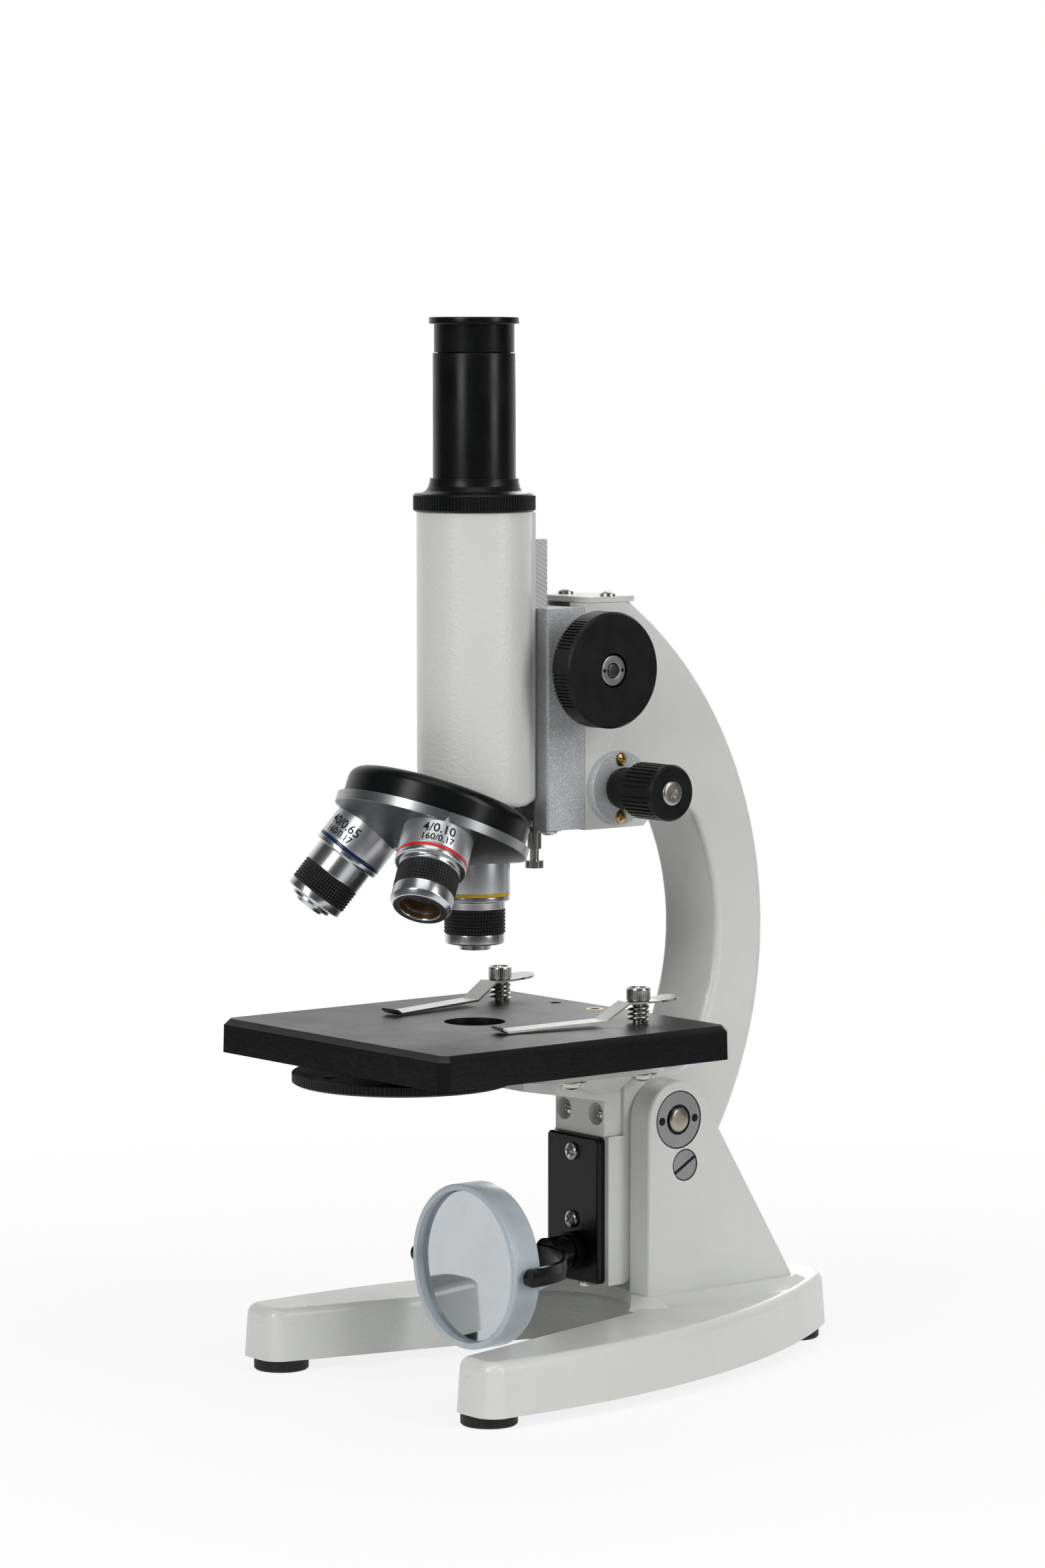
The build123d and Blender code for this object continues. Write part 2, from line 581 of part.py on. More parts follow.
save("fine_knobs", both_sides(fine_knob))
save("fine_knob_screws", both_sides(fine_screw))


# Tube: body with rear pad, dovetail slide and rack.
tilt = radians(nose_tilt)
nose = Plane(origin=(0, 0, apex_z), x_dir=(1, 0, 0), z_dir=(0, sin(tilt), cos(tilt)))


def body_tube():
    tube = rod(tube_r, (0, 0, tube_low), (0, 0, tube_high))
    tube += fillet(block(-9, 9, 10, 19.05, tube_low, tube_high - 0.4).edges().filter_by(Axis.Z), 1.5)
    tube = fillet(tube.faces().sort_by(Axis.Z)[0].edges(), 2.5)
    tube -= rod(14.6, (0, 0, 194), (0, 0, 290))
    tube -= rod(10, (0, 0, 180), (0, 0, 200))
    tube -= turned([(0, -60), (31.2, -60), (31.2, mount_top + 0.1), (0, mount_top + 0.1)], nose)
    return tube


def focus_rack():
    pitch = pi * gear_module
    tip_half = 0.25 * pitch - 0.06 - gear_module * tan(radians(20))
    root_half = 0.25 * pitch - 0.06 + 0.75 * tan(radians(20))
    points = [(23.02, slide_low), (24.35, slide_low)]
    for i in range(-14, 22):
        z = coarse_z + (i + 0.5) * pitch
        points += [(24.35, z - root_half), (25.7, z - tip_half), (25.7, z + tip_half), (24.35, z + root_half)]
    points += [(24.35, slide_high), (23.02, slide_high)]
    return side_plate(points, -6, 6)


slide_face = make_face(Polyline((-7.0, 19.07), (7.0, 19.07), (9.0, 23.0), (-9.0, 23.0), close=True))
slide = Pos(0, 0, slide_low) * extrude(slide_face, slide_high - slide_low)
collar = turned([(13.45, 276), (14.55, 276), (14.55, 284.55), (19.2, 284.55), (19.85, 285.1), (19.85, 289.8),
                 (19.3, 290.4), (17.2, 290.5), (15.6, 291.4), (14.7, 293.0), (14.4, 294.6), (14.4, 295.3),
                 (13.45, 295.3)])
drawtube = turned([(11.75, 262), (13.4, 262), (13.4, 335.2), (13.1, 335.6), (11.75, 335.6)])
save("body_tube", body_tube())
save("dovetail_slide", slide)
save("focus_rack", focus_rack())
save("tube_collar", collar)
save("drawtube", drawtube)


# Nosepiece: fixed disc with its neck, pivot screw, detent spring and turning turret.
def nosepiece_mount():
    disc_part = turned([(0, -45), (30.6, -45), (30.6, mount_top), (0, mount_top)], nose)
    top_edge = disc_part.edges().sort_by(Axis(nose.origin, nose.z_dir))[-1]
    disc_part = fillet(top_edge, 4.0)
    neck = rod(14.0, (0, 0, 168), (0, 0, tube_low - 0.05))
    neck -= turned([(0, -90), (60, -90), (60, -43), (0, -43)], nose)
    neck -= nose * block(-3.2, 3.2, 26.8, 40, mount_top, mount_top + 2)
    body = disc_part + neck
    body -= rod(9.0, (0, 0, 150), (0, 0, 200))
    body -= turned([(0, -46), (4.6, -46), (4.6, -41.5), (0, -41.5)], nose)
    return body


objective_turns = [0, 120, -120]


def objective_plane(turn):
    """Frame on an objective's axis: origin on its shoulder, Z down along the axis."""
    a = radians(turn)
    axis = Vector(sin(a) * sin(tilt), cos(a) * sin(tilt), -cos(tilt))
    shoulder = nose.from_local_coords(axis * seat)
    return Plane(origin=shoulder, z_dir=shoulder - nose.origin)


def turret():
    body = turned([(5.05, -45.3), (32.3, -45.3), (32.3, -48.4), (9.7, -57.55), (5.05, -57.55)], nose)
    for turn in objective_turns:
        frame = objective_plane(turn)
        body -= frame * Pos(0, 0, -3.2) * Cylinder(11.6, 20, align=(Align.CENTER, Align.CENTER, Align.MIN))
        body -= frame * Cylinder(10.15, 40)
        notch = Rot(0, 0, -turn) * Pos(0, 32.6, -47) * Rot(0, 0, 45) * Box(1.8, 1.8, 8)
        body -= nose * notch
    return body


turret_screw = turned([(0, -59.8), (6.5, -59.8), (8.0, -58.6), (8.0, -57.9), (5.0, -57.9), (5.0, -45.2),
                       (4.55, -45.2), (4.55, -41.6), (0, -41.6)], nose)
detent_top = mount_top + 0.6
detent = block(-3, 3, 27, 33.5, mount_top + 0.1, detent_top)
detent += block(-3, 3, 32.9, 33.5, -47.5, detent_top)
save("nosepiece_mount", nosepiece_mount())
save("turret_screw", turret_screw)
save("detent_spring", nose * detent)
save("turret", turret())

# Objectives: each has its place on the turret, where the neck and grip end, the front outline and the lens.
barrel_bore = 5.0
objectives = {
    "4x": dict(turn=120, neck=13.4, grip=21.2, lens=20.0,
               front=[(9.9, 21.3), (9.9, 25.4), (8.6, 26.9), (6.6, 26.9), (6.0, 21)]),
    "10x": dict(turn=0, neck=14.3, grip=22.3, lens=26.2,
                front=[(9.7, 22.4), (9.7, 25.2), (9.2, 25.7), (5.4, 25.7), (5.2, 27.6), (3.2, 27.6)]),
    "40x": dict(turn=-120, neck=18.8, grip=26.3, lens=30.6,
                front=[(9.8, 26.4), (9.8, 28.6), (8.6, 29.2), (7.0, 29.4), (7.0, 30.4), (5.2, 30.6),
                       (4.6, 31.6), (2.6, 31.6)]),
}
above_turret = turned([(0, -45.4), (45, -45.4), (45, -30), (0, -30)], nose)
grips = []
lenses = []
for name, spec in objectives.items():
    frame = objective_plane(spec["turn"])
    neck, grip, lens = spec["neck"], spec["grip"], spec["lens"]
    front_bore = spec["front"][-1][0]
    outline = [(barrel_bore, -7.5), (10.1, -7.5), (10.1, -3.15), (11.5, -3.15), (11.5, 8.6), (11.2, 8.6),
               (11.2, 9.9), (11.5, 9.9), (11.5, 11.3), (11.2, 11.6), (9.9, 11.7), (9.9, neck), (9.0, neck),
               (9.0, grip + 0.1)]
    outline += spec["front"] + [(front_bore, lens - 4), (barrel_bore, lens - 5)]
    save("barrel_" + name, turned(outline, frame) - above_turret)
    save("band_" + name, turned([(11.25, 8.65), (11.5, 8.65), (11.5, 9.85), (11.25, 9.85)], frame))
    grips.append(turned([(9.05, neck + 0.05), (10.0, neck + 0.05), (10.0, grip), (9.05, grip)], frame))
    glass_r = front_bore - 0.05
    lenses.append(turned([(0, lens - 1.6), (glass_r, lens - 1.6), (glass_r, lens), (0, lens + 0.4)], frame))
save("objective_grips", group(grips))
save("objective_lenses", group(lenses))

# Eyepiece: flanged shell with its eye lens and field lens.
eyepiece = turned([(10, 306), (11.65, 306), (11.65, 335.75), (13.0, 335.75), (13.0, 344.9), (14.3, 344.9),
                   (14.6, 345.2), (14.6, 346.8), (14.3, 347.05), (9.0, 347.05), (6.0, 345.2), (6.0, 344),
                   (8.0, 344), (8.0, 336), (10, 334)])
eye_lens = turned([(0, 339.6), (7.95, 340.6), (7.95, 342.6), (0, 343.8)])
field_lens = turned([(0, 308), (9.95, 308), (9.95, 309.2), (6, 310.4), (0, 311)])
save("eyepiece_shell", eyepiece)
save("eye_lens", eye_lens)
save("field_lens", field_lens)
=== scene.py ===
import math
import bpy
import bmesh
import numpy as np
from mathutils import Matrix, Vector


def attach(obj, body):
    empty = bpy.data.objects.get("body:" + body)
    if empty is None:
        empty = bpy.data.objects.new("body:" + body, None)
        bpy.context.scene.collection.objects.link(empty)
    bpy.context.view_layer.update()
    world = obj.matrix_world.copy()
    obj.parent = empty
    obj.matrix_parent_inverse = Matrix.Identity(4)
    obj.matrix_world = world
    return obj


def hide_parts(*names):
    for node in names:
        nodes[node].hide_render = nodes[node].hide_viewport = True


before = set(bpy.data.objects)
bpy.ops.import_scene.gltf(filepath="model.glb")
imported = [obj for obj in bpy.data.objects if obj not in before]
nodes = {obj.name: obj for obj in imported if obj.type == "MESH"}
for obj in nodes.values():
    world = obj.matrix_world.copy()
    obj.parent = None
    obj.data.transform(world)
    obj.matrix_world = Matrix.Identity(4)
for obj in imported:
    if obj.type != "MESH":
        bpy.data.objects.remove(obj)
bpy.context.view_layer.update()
mm = 0.001
opticY = -41.1  # the optical axis in the shared frame; lengths below are millimetres from that axis
tilt = math.radians(22)  # the nosepiece against the optical axis
apex = np.array([0, 0, 226.9])  # where the objectives' axes meet
seatReach = 57.0  # from the apex to an objective's seat
noseX = np.array([1.0, 0, 0])
noseY = np.array([0, math.cos(tilt), -math.sin(tilt)])
noseZ = np.array([0, math.sin(tilt), math.cos(tilt)])
cameraAt = np.array([1254.44, -993.95, 335.02])
lookAt = np.array([9.78, 12.1, 196.12])
sides = (-1, 1)
meshSpec = dict(merge=1.5e-6, tiny=1e-7, sharp=40.0, turns=128)


# small helpers
def unit(v):
    v = np.asarray(v, float)
    return v / np.linalg.norm(v)


def toFrame(pointMm):
    # millimetres from the optical axis to metres in the shared frame
    return (np.asarray(pointMm, float) + (0, opticY, 0)) * mm


def axisFrame(origin, direction, hint=(1.0, 0.0, 0.0)):
    # three unit directions: the last along the axis, the first as near the hint as it can be
    e3 = unit(direction)
    e1 = unit(np.asarray(hint, float) - e3 * np.dot(hint, e3))
    return np.asarray(origin, float), e1, np.cross(e3, e1), e3


def uprightAt(x, y):
    return axisFrame((x, y, 0), (0, 0, 1))


def sideFrame(side, y, z, x=0.0):
    # axis out of one side of the part
    return axisFrame((x, y, z), (side, 0, 0), (0, 1, 0))


def objectiveFrame(turn):
    # axis of one objective, the first direction towards the camera
    a = math.radians(turn)
    axis = math.sin(tilt) * (math.sin(a) * noseX + math.cos(a) * noseY) - math.cos(tilt) * noseZ
    seat = apex + seatReach * axis
    return axisFrame(seat, axis, cameraAt - seat)


def softProfile(points, radius=0.3, steps=5, share=0.45):
    # outline with rounded corners: each becomes a quadratic curve that takes part of both sides
    pts = np.asarray(points, float)
    t = np.linspace(0, 1, steps)[:, None]
    out = [pts[:1]]
    for a, b, c in zip(pts[:-2], pts[1:-1], pts[2:]):
        cut = min(radius, share * np.linalg.norm(b - a), share * np.linalg.norm(c - b))
        p, q = b + unit(a - b) * cut, b + unit(c - b) * cut
        out.append((1 - t) ** 2 * p + 2 * t * (1 - t) * b + t ** 2 * q)
    out.append(pts[-1:])
    return np.vstack(out)


def serration(angle, ribs, power=1.0):
    # 0 on the ribs and 1 in the grooves between them
    return 1 - np.abs(np.sin(0.5 * ribs * angle)) ** power


def gridFaces(rows, cols, wrap=True):
    index = np.arange(rows * cols).reshape(rows, cols)
    if wrap:
        index = np.hstack([index, index[:, :1]])
    corners = [index[:-1, :-1], index[:-1, 1:], index[1:, 1:], index[1:, :-1]]
    return np.stack(corners, -1).reshape(-1, 4)


def joinGrids(grids):
    verts, faces, start = [], [], 0
    for grid in grids:
        rows, cols = grid.shape[:2]
        verts.append(grid.reshape(-1, 3))
        faces.append(gridFaces(rows, cols) + start)
        start += rows * cols
    return np.vstack(verts), np.vstack(faces)


def meshArrays(mesh):
    # points and triangles of a mesh
    points = np.empty(len(mesh.vertices) * 3)
    mesh.vertices.foreach_get("co", points)
    faces = np.empty(len(mesh.loops), np.int32)
    mesh.loops.foreach_get("vertex_index", faces)
    return points.reshape(-1, 3), faces.reshape(-1, 3)


def shadeSmooth(mesh, sharp):
    mesh.polygons.foreach_set("use_smooth", np.ones(len(mesh.polygons), bool))
    mesh.set_sharp_from_angle(angle=math.radians(sharp))


def mergedMesh(name, vertsMm, faces, sharp=meshSpec["sharp"]):
    # whole arrays to a mesh whose seams and poles are merged and whose faces point outward
    mesh = bpy.data.meshes.new(name)
    verts = toFrame(np.asarray(vertsMm).reshape(-1, 3))
    faces = np.asarray(faces, np.int32)
    mesh.vertices.add(len(verts))
    mesh.vertices.foreach_set("co", verts.astype(np.float32).ravel())
    mesh.loops.add(faces.size)
    mesh.loops.foreach_set("vertex_index", faces.ravel())
    mesh.polygons.add(len(faces))
    starts = np.arange(0, faces.size, faces.shape[1], dtype=np.int32)
    mesh.polygons.foreach_set("loop_start", starts)
    mesh.update(calc_edges=True)
    mesh.validate()
    work = bmesh.new()
    work.from_mesh(mesh)
    bmesh.ops.remove_doubles(work, verts=work.verts, dist=meshSpec["merge"])
    bmesh.ops.dissolve_degenerate(work, edges=work.edges, dist=meshSpec["tiny"])
    bmesh.ops.recalc_face_normals(work, faces=work.faces)
    work.to_mesh(mesh)
    work.free()
    shadeSmooth(mesh, sharp)
    return mesh


def linked(name, data):
    thing = bpy.data.objects.new(name, data)
    bpy.context.scene.collection.objects.link(thing)
    return thing


def evaluatedMesh(thing):
    bpy.context.view_layer.update()
    graph = bpy.context.evaluated_depsgraph_get()
    return bpy.data.meshes.new_from_object(thing.evaluated_get(graph))


def meshPiece(name, vertsMm, faces, body, slot, finish, stands=(), sharp=meshSpec["sharp"]):
    mesh = mergedMesh(name, vertsMm, faces, sharp)
    mesh.materials.append(finishes[finish])
    piece = linked(name, mesh)
    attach(piece, body)
    if stands:
        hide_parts(*stands)
    return piece


def gridPiece(name, grids, *args, **options):
    return meshPiece(name, *joinGrids(grids), *args, **options)


def latheGrid(profile, place, turns=meshSpec["turns"], shape=None):
    # turned form: radius and height from the outline, plus shape(angle, height, radius)
    origin, e1, e2, e3 = place
    profile = np.asarray(profile, float)
    angle = np.linspace(0, 2 * np.pi, turns, endpoint=False)[None, :]
    r = np.repeat(profile[:, :1], turns, 1)
    if shape is not None:
        r = r + shape(angle, profile[:, 1:2], profile[:, :1])
    h = profile[:, 1][:, None, None]
    ring = np.cos(angle)[..., None] * e1 + np.sin(angle)[..., None] * e2
    return origin + r[..., None] * ring + h * e3


def bandGrid(inner, outer, low, high, place):
    # closed ring of square section
    corners = [(inner, low), (outer, low), (outer, high), (inner, high), (inner, low)]
    return latheGrid(corners, place)


def pegGrid(radius, low, high, place, turns=48):
    # short plain cylinder
    return latheGrid([(0, low), (radius, low), (radius, high), (0, high)], place, turns)


# shader helpers
def feed(tree, node, sockets):
    # a link or a constant for each socket
    for key, value in sockets.items():
        if isinstance(value, bpy.types.NodeSocket):
            tree.links.new(value, node.inputs[key])
        else:
            node.inputs[key].default_value = value
    return node


def addNode(tree, kind, sockets=None, **settings):
    node = tree.nodes.new("ShaderNode" + kind)
    for key, value in settings.items():
        setattr(node, key, value)
    return feed(tree, node, sockets or {})


def blankMaterial(name):
    material = bpy.data.materials.new(name)
    material.use_nodes = True
    tree = material.node_tree
    tree.nodes.clear()
    coord = addNode(tree, "TexCoord").outputs["Object"]
    return material, tree, addNode(tree, "OutputMaterial"), coord


def newMaterial(name):
    material, tree, out, coord = blankMaterial(name)
    shader = addNode(tree, "BsdfPrincipled")
    feed(tree, out, {"Surface": shader.outputs["BSDF"]})
    return material, tree, shader, coord


def noiseOf(tree, coord, scale, detail, rough, stretch=None):
    if stretch:
        coord = addNode(tree, "Mapping", {"Vector": coord, "Scale": stretch}).outputs["Vector"]
    values = {"Vector": coord, "Scale": scale, "Detail": detail, "Roughness": rough}
    return addNode(tree, "TexNoise", values).outputs["Fac"]


def rangeOf(tree, value, low, high, fromLow=0.3, fromHigh=0.7):
    values = {"Value": value, "From Min": fromLow, "From Max": fromHigh,
              "To Min": low, "To Max": high}
    return addNode(tree, "MapRange", values).outputs["Result"]


def mixValue(tree, factor, a, b):
    return addNode(tree, "Mix", {0: factor, 2: a, 3: b}).outputs[0]


def mixColour(tree, factor, a, b):
    a, b = (v if isinstance(v, bpy.types.NodeSocket) else (*v, 1) for v in (a, b))
    return addNode(tree, "Mix", {0: factor, 6: a, 7: b}, data_type="RGBA").outputs[2]


def bumpFrom(tree, height, strength, distance):
    values = {"Height": height, "Strength": strength, "Distance": distance}
    return addNode(tree, "Bump", values).outputs["Normal"]


def alongAxis(tree, coord, axis, origin=(0, 0, 0)):
    # place along an axis, in metres from the origin
    offset = addNode(tree, "VectorMath", {0: coord, 1: tuple(origin)}, operation="SUBTRACT")
    values = {0: offset.outputs["Vector"], 1: tuple(axis)}
    return addNode(tree, "VectorMath", values, operation="DOT_PRODUCT").outputs["Value"]


# finishes
noiseSpec = dict(slow=(4, 0.6), fine=(2.5, 0.5), speck=(1.0, 0.4))  # detail and roughness


def finishMaterial(name, spec):
    # colour and roughness drift on a slow noise, a fine noise gives the skin its bump
    material, tree, shader, coord = newMaterial(name)
    slow = noiseOf(tree, coord, spec["slow"], *noiseSpec["slow"])
    fine = noiseOf(tree, coord, spec["fine"], *noiseSpec["fine"])
    tint = mixColour(tree, rangeOf(tree, slow, 0, 1), spec["colour"], spec["shade"])
    if "speck" in spec:
        grain = noiseOf(tree, coord, spec["speckScale"], *noiseSpec["speck"])
        tint = mixColour(tree, rangeOf(tree, grain, 0, 1, *spec["speckRange"]), tint, spec["speck"])
    feed(tree, shader, {
        "Base Color": tint,
        "Roughness": rangeOf(tree, slow, *spec["rough"]),
        "Normal": bumpFrom(tree, fine, spec["bump"], spec["depth"]),
        "Metallic": spec.get("metal", 0.0),
        "Specular IOR Level": spec.get("specular", 0.5),
        "Coat Weight": spec.get("coat", 0.0),
        "Coat Roughness": spec.get("coatRough", 0.1)})
    return material


finishSpecs = {
    "creamPaint": dict(colour=(0.68, 0.69, 0.665), shade=(0.65, 0.66, 0.635), slow=35, fine=800,
                       rough=(0.3, 0.38), bump=0.3, depth=0.0006, coat=0.25, coatRough=0.12),
    "blackSatin": dict(colour=(0.004, 0.0045, 0.0048), shade=(0.006, 0.0065, 0.007), slow=90,
                       fine=1500, rough=(0.24, 0.34), bump=0.06, depth=0.0002, specular=0.22),
    "blackKnob": dict(colour=(0.005, 0.0055, 0.006), shade=(0.008, 0.0085, 0.009), slow=140,
                      fine=1200, rough=(0.34, 0.44), bump=0.12, depth=0.0002, specular=0.22),
    "blackGloss": dict(colour=(0.004, 0.0045, 0.005), shade=(0.006, 0.0065, 0.007), slow=120,
                       fine=700, rough=(0.14, 0.22), bump=0.1, depth=0.0003, specular=0.2),
    "hammerSilver": dict(colour=(0.50, 0.51, 0.52), shade=(0.44, 0.45, 0.46), slow=300, fine=1800,
                         rough=(0.36, 0.5), bump=0.5, depth=0.0004, metal=0.2,
                         speck=(0.72, 0.73, 0.75), speckScale=2600, speckRange=(0.56, 0.66)),
    "brightSteel": dict(colour=(0.56, 0.55, 0.53), shade=(0.51, 0.50, 0.48), slow=160, fine=1600,
                        rough=(0.24, 0.3), bump=0.03, depth=0.0001, metal=1.0),
    "gripBlack": dict(colour=(0.011, 0.012, 0.012), shade=(0.018, 0.018, 0.018), slow=200,
                      fine=1500, rough=(0.42, 0.55), bump=0.15, depth=0.0002, specular=0.4),
    "ringRed": dict(colour=(0.62, 0.012, 0.015), shade=(0.5, 0.01, 0.012), slow=300, fine=900,
                    rough=(0.2, 0.3), bump=0.1, depth=0.0002),
    "ringYellow": dict(colour=(0.62, 0.40, 0.02), shade=(0.52, 0.32, 0.015), slow=300, fine=900,
                       rough=(0.2, 0.3), bump=0.1, depth=0.0002),
    "ringBlue": dict(colour=(0.008, 0.02, 0.11), shade=(0.006, 0.015, 0.08), slow=300, fine=900,
                     rough=(0.2, 0.3), bump=0.1, depth=0.0002),
    "brass": dict(colour=(0.55, 0.40, 0.17), shade=(0.40, 0.28, 0.12), slow=300, fine=1500,
                  rough=(0.25, 0.4), bump=0.15, depth=0.0002, metal=1.0),
    "goldBore": dict(colour=(0.30, 0.19, 0.09), shade=(0.20, 0.12, 0.06), slow=300, fine=1200,
                     rough=(0.3, 0.45), bump=0.1, depth=0.0002, metal=0.9),
    "footRubber": dict(colour=(0.006, 0.006, 0.006), shade=(0.010, 0.010, 0.010), slow=160,
                       fine=900, rough=(0.55, 0.7), bump=0.3, depth=0.0004, specular=0.35),
    "engraving": dict(colour=(0.006, 0.006, 0.007), shade=(0.01, 0.01, 0.011), slow=400, fine=1500,
                      rough=(0.5, 0.6), bump=0.1, depth=0.0001, specular=0.1),
}
finishes = {name: finishMaterial(name, spec) for name, spec in finishSpecs.items()}
print("finishes made:", len(finishes))

stageSpec = dict(top=(0.1165, 0.1182), speck=(1700, 2, 0.6), cloud=(45, 4, 0.6),
                 scratch=(420, 2, 0.5, (1, 1, 3)), dark=(0.004, 0.0045, 0.005),
                 worn=(0.007, 0.0075, 0.008), dust=(0.035, 0.035, 0.037), dustRange=(0.58, 0.78),
                 skirtRough=(0.2, 0.26), topRough=(0.36, 0.46), bump=(0.2, 0.0002), specular=0.35)


def stageFinish():
    # speckled satin top, glossier skirt with fine scratches; the height picks between them
    spec = stageSpec
    material, tree, shader, coord = newMaterial("stageBlack")
    height = addNode(tree, "SeparateXYZ", {"Vector": coord}).outputs["Z"]
    top = rangeOf(tree, height, 0, 1, *spec["top"])
    speck, cloud, scratch = (noiseOf(tree, coord, *spec[key])
                             for key in ("speck", "cloud", "scratch"))
    dark = mixColour(tree, rangeOf(tree, cloud, 0, 1), spec["dark"], spec["worn"])
    dusty = mixColour(tree, rangeOf(tree, speck, 0, 1, *spec["dustRange"]), dark, spec["dust"])
    feed(tree, shader, {
        "Base Color": mixColour(tree, top, dark, dusty),
        "Roughness": mixValue(tree, top, rangeOf(tree, scratch, *spec["skirtRough"]),
                              rangeOf(tree, cloud, *spec["topRough"])),
        "Normal": bumpFrom(tree, speck, *spec["bump"]),
        "Specular IOR Level": spec["specular"]})
    return material


milledSpec = dict(slant=35, wave={"Scale": 260, "Distortion": 1.2, "Detail": 2},
                  dark=(0.62, 0.63, 0.63), light=(0.80, 0.81, 0.81), rough=(0.5, 0.36),
                  bump=(0.3, 0.0002), metal=0.3)


def milledFinish():
    # bright steel with slanting milling marks
    spec = milledSpec
    material, tree, shader, coord = newMaterial("milledSteel")
    turn = (math.radians(spec["slant"]), 0, 0)
    slanted = addNode(tree, "Mapping", {"Vector": coord, "Rotation": turn}).outputs["Vector"]
    wave = addNode(tree, "TexWave", {"Vector": slanted, **spec["wave"]}, bands_direction="Z")
    marks = wave.outputs["Fac"]
    feed(tree, shader, {
        "Base Color": mixColour(tree, marks, spec["dark"], spec["light"]),
        "Roughness": rangeOf(tree, marks, *spec["rough"], 0, 1),
        "Normal": bumpFrom(tree, marks, *spec["bump"]),
        "Metallic": spec["metal"]})
    return material


hingeAt, limitAt, hubAt, fineAt = (67.2, 82.4), (70.0, 67.0), (30.5, 233.5), (48.2, 193.3)
ringSpec = dict(wave={"Scale": 1100, "Distortion": 1.5, "Detail Scale": 3}, cloud=(180, 3, 0.6),
                worn=0.85, rough=(0.36, 0.28), bump=(0.12, 0.00005))
turnedSpecs = {
    "hingeSteel": dict(centre=hingeAt, dark=(0.34, 0.34, 0.35), light=(0.42, 0.42, 0.43)),
    "limitSteel": dict(centre=limitAt, dark=(0.32, 0.32, 0.33), light=(0.40, 0.40, 0.41)),
    "pinNickel": dict(centre=hingeAt, dark=(0.36, 0.33, 0.28), light=(0.46, 0.43, 0.37)),
    "screwNickel": dict(centre=fineAt, dark=(0.42, 0.40, 0.36), light=(0.52, 0.50, 0.46)),
    "knobSteel": dict(centre=hubAt, dark=(0.44, 0.44, 0.45), light=(0.52, 0.52, 0.53)),
    "shaftSteel": dict(centre=hubAt, dark=(0.10, 0.10, 0.10), light=(0.15, 0.15, 0.15)),
}


def turnedFinish(name, spec):
    # steel faced on a lathe: fine rings round an axis along X
    material, tree, shader, coord = newMaterial(name)
    shift = tuple(-toFrame((0, *spec["centre"])))
    centred = addNode(tree, "Mapping", {"Vector": coord, "Location": shift}).outputs["Vector"]
    wave = addNode(tree, "TexWave", {"Vector": centred, **ringSpec["wave"]}, wave_type="RINGS",
                   rings_direction="X")
    rings = wave.outputs["Fac"]
    cloud = rangeOf(tree, noiseOf(tree, coord, *ringSpec["cloud"]), 0, 1)
    worn = mixColour(tree, cloud, spec["dark"], [ringSpec["worn"] * c for c in spec["dark"]])
    feed(tree, shader, {
        "Base Color": mixColour(tree, rings, worn, spec["light"]),
        "Roughness": rangeOf(tree, rings, *ringSpec["rough"], 0, 1),
        "Normal": bumpFrom(tree, rings, *ringSpec["bump"]),
        "Metallic": 1.0})
    return material


turretSpec = dict(rim=(-0.0487, -0.0483), fine=(2600, 2, 0.5), cloud=(240, 4, 0.6),
                  groove=(5200, 1, 0.4), cone=((0.16, 0.165, 0.17), (0.12, 0.125, 0.13)),
                  bright=((0.46, 0.47, 0.48), (0.28, 0.29, 0.30)), coneRough=(0.34, 0.46),
                  rimRough=0.32, bump=(0.03, 0.0001), metal=0.95)


def turretFinish():
    # bright turned rim above, dark satin cone below; the place along the axis picks between them
    spec = turretSpec
    material, tree, shader, coord = newMaterial("turretAluminium")
    height = alongAxis(tree, coord, noseZ, toFrame(apex))
    rim = rangeOf(tree, height, 0, 1, *spec["rim"])
    cloud = noiseOf(tree, coord, *spec["cloud"])
    cone = mixColour(tree, rangeOf(tree, cloud, 0, 1), *spec["cone"])
    groove = rangeOf(tree, noiseOf(tree, height, *spec["groove"]), 0, 1)
    feed(tree, shader, {
        "Base Color": mixColour(tree, rim, cone, mixColour(tree, groove, *spec["bright"])),
        "Roughness": mixValue(tree, rim, rangeOf(tree, cloud, *spec["coneRough"]),
                              spec["rimRough"]),
        "Normal": bumpFrom(tree, noiseOf(tree, coord, *spec["fine"]), *spec["bump"]),
        "Metallic": spec["metal"]})
    return material


chromeSpec = dict(rough=(0.31, 0.24), metal=(0.82, 0.96), start=(8.5, 8.8), rings=(2600, 3, 0.6),
                  colours=((0.68, 0.69, 0.71), (0.54, 0.55, 0.57)), bump=(0.05, 0.0001))


def barrelFinish(name, place):
    # turned chrome with fine rings along the barrel's axis; its lettered part is more satin
    spec = chromeSpec
    material, tree, shader, coord = newMaterial(name)
    axis = place[3]
    along = alongAxis(tree, coord, axis)
    rings = noiseOf(tree, along, *spec["rings"])
    seat = float(np.dot(toFrame(place[0]), axis))
    chrome = [seat + start * mm for start in spec["start"]]
    feed(tree, shader, {
        "Base Color": mixColour(tree, rangeOf(tree, rings, 0, 1), *spec["colours"]),
        "Roughness": rangeOf(tree, along, *spec["rough"], *chrome),
        "Metallic": rangeOf(tree, along, *spec["metal"], *chrome),
        "Normal": bumpFrom(tree, rings, *spec["bump"])})
    return material


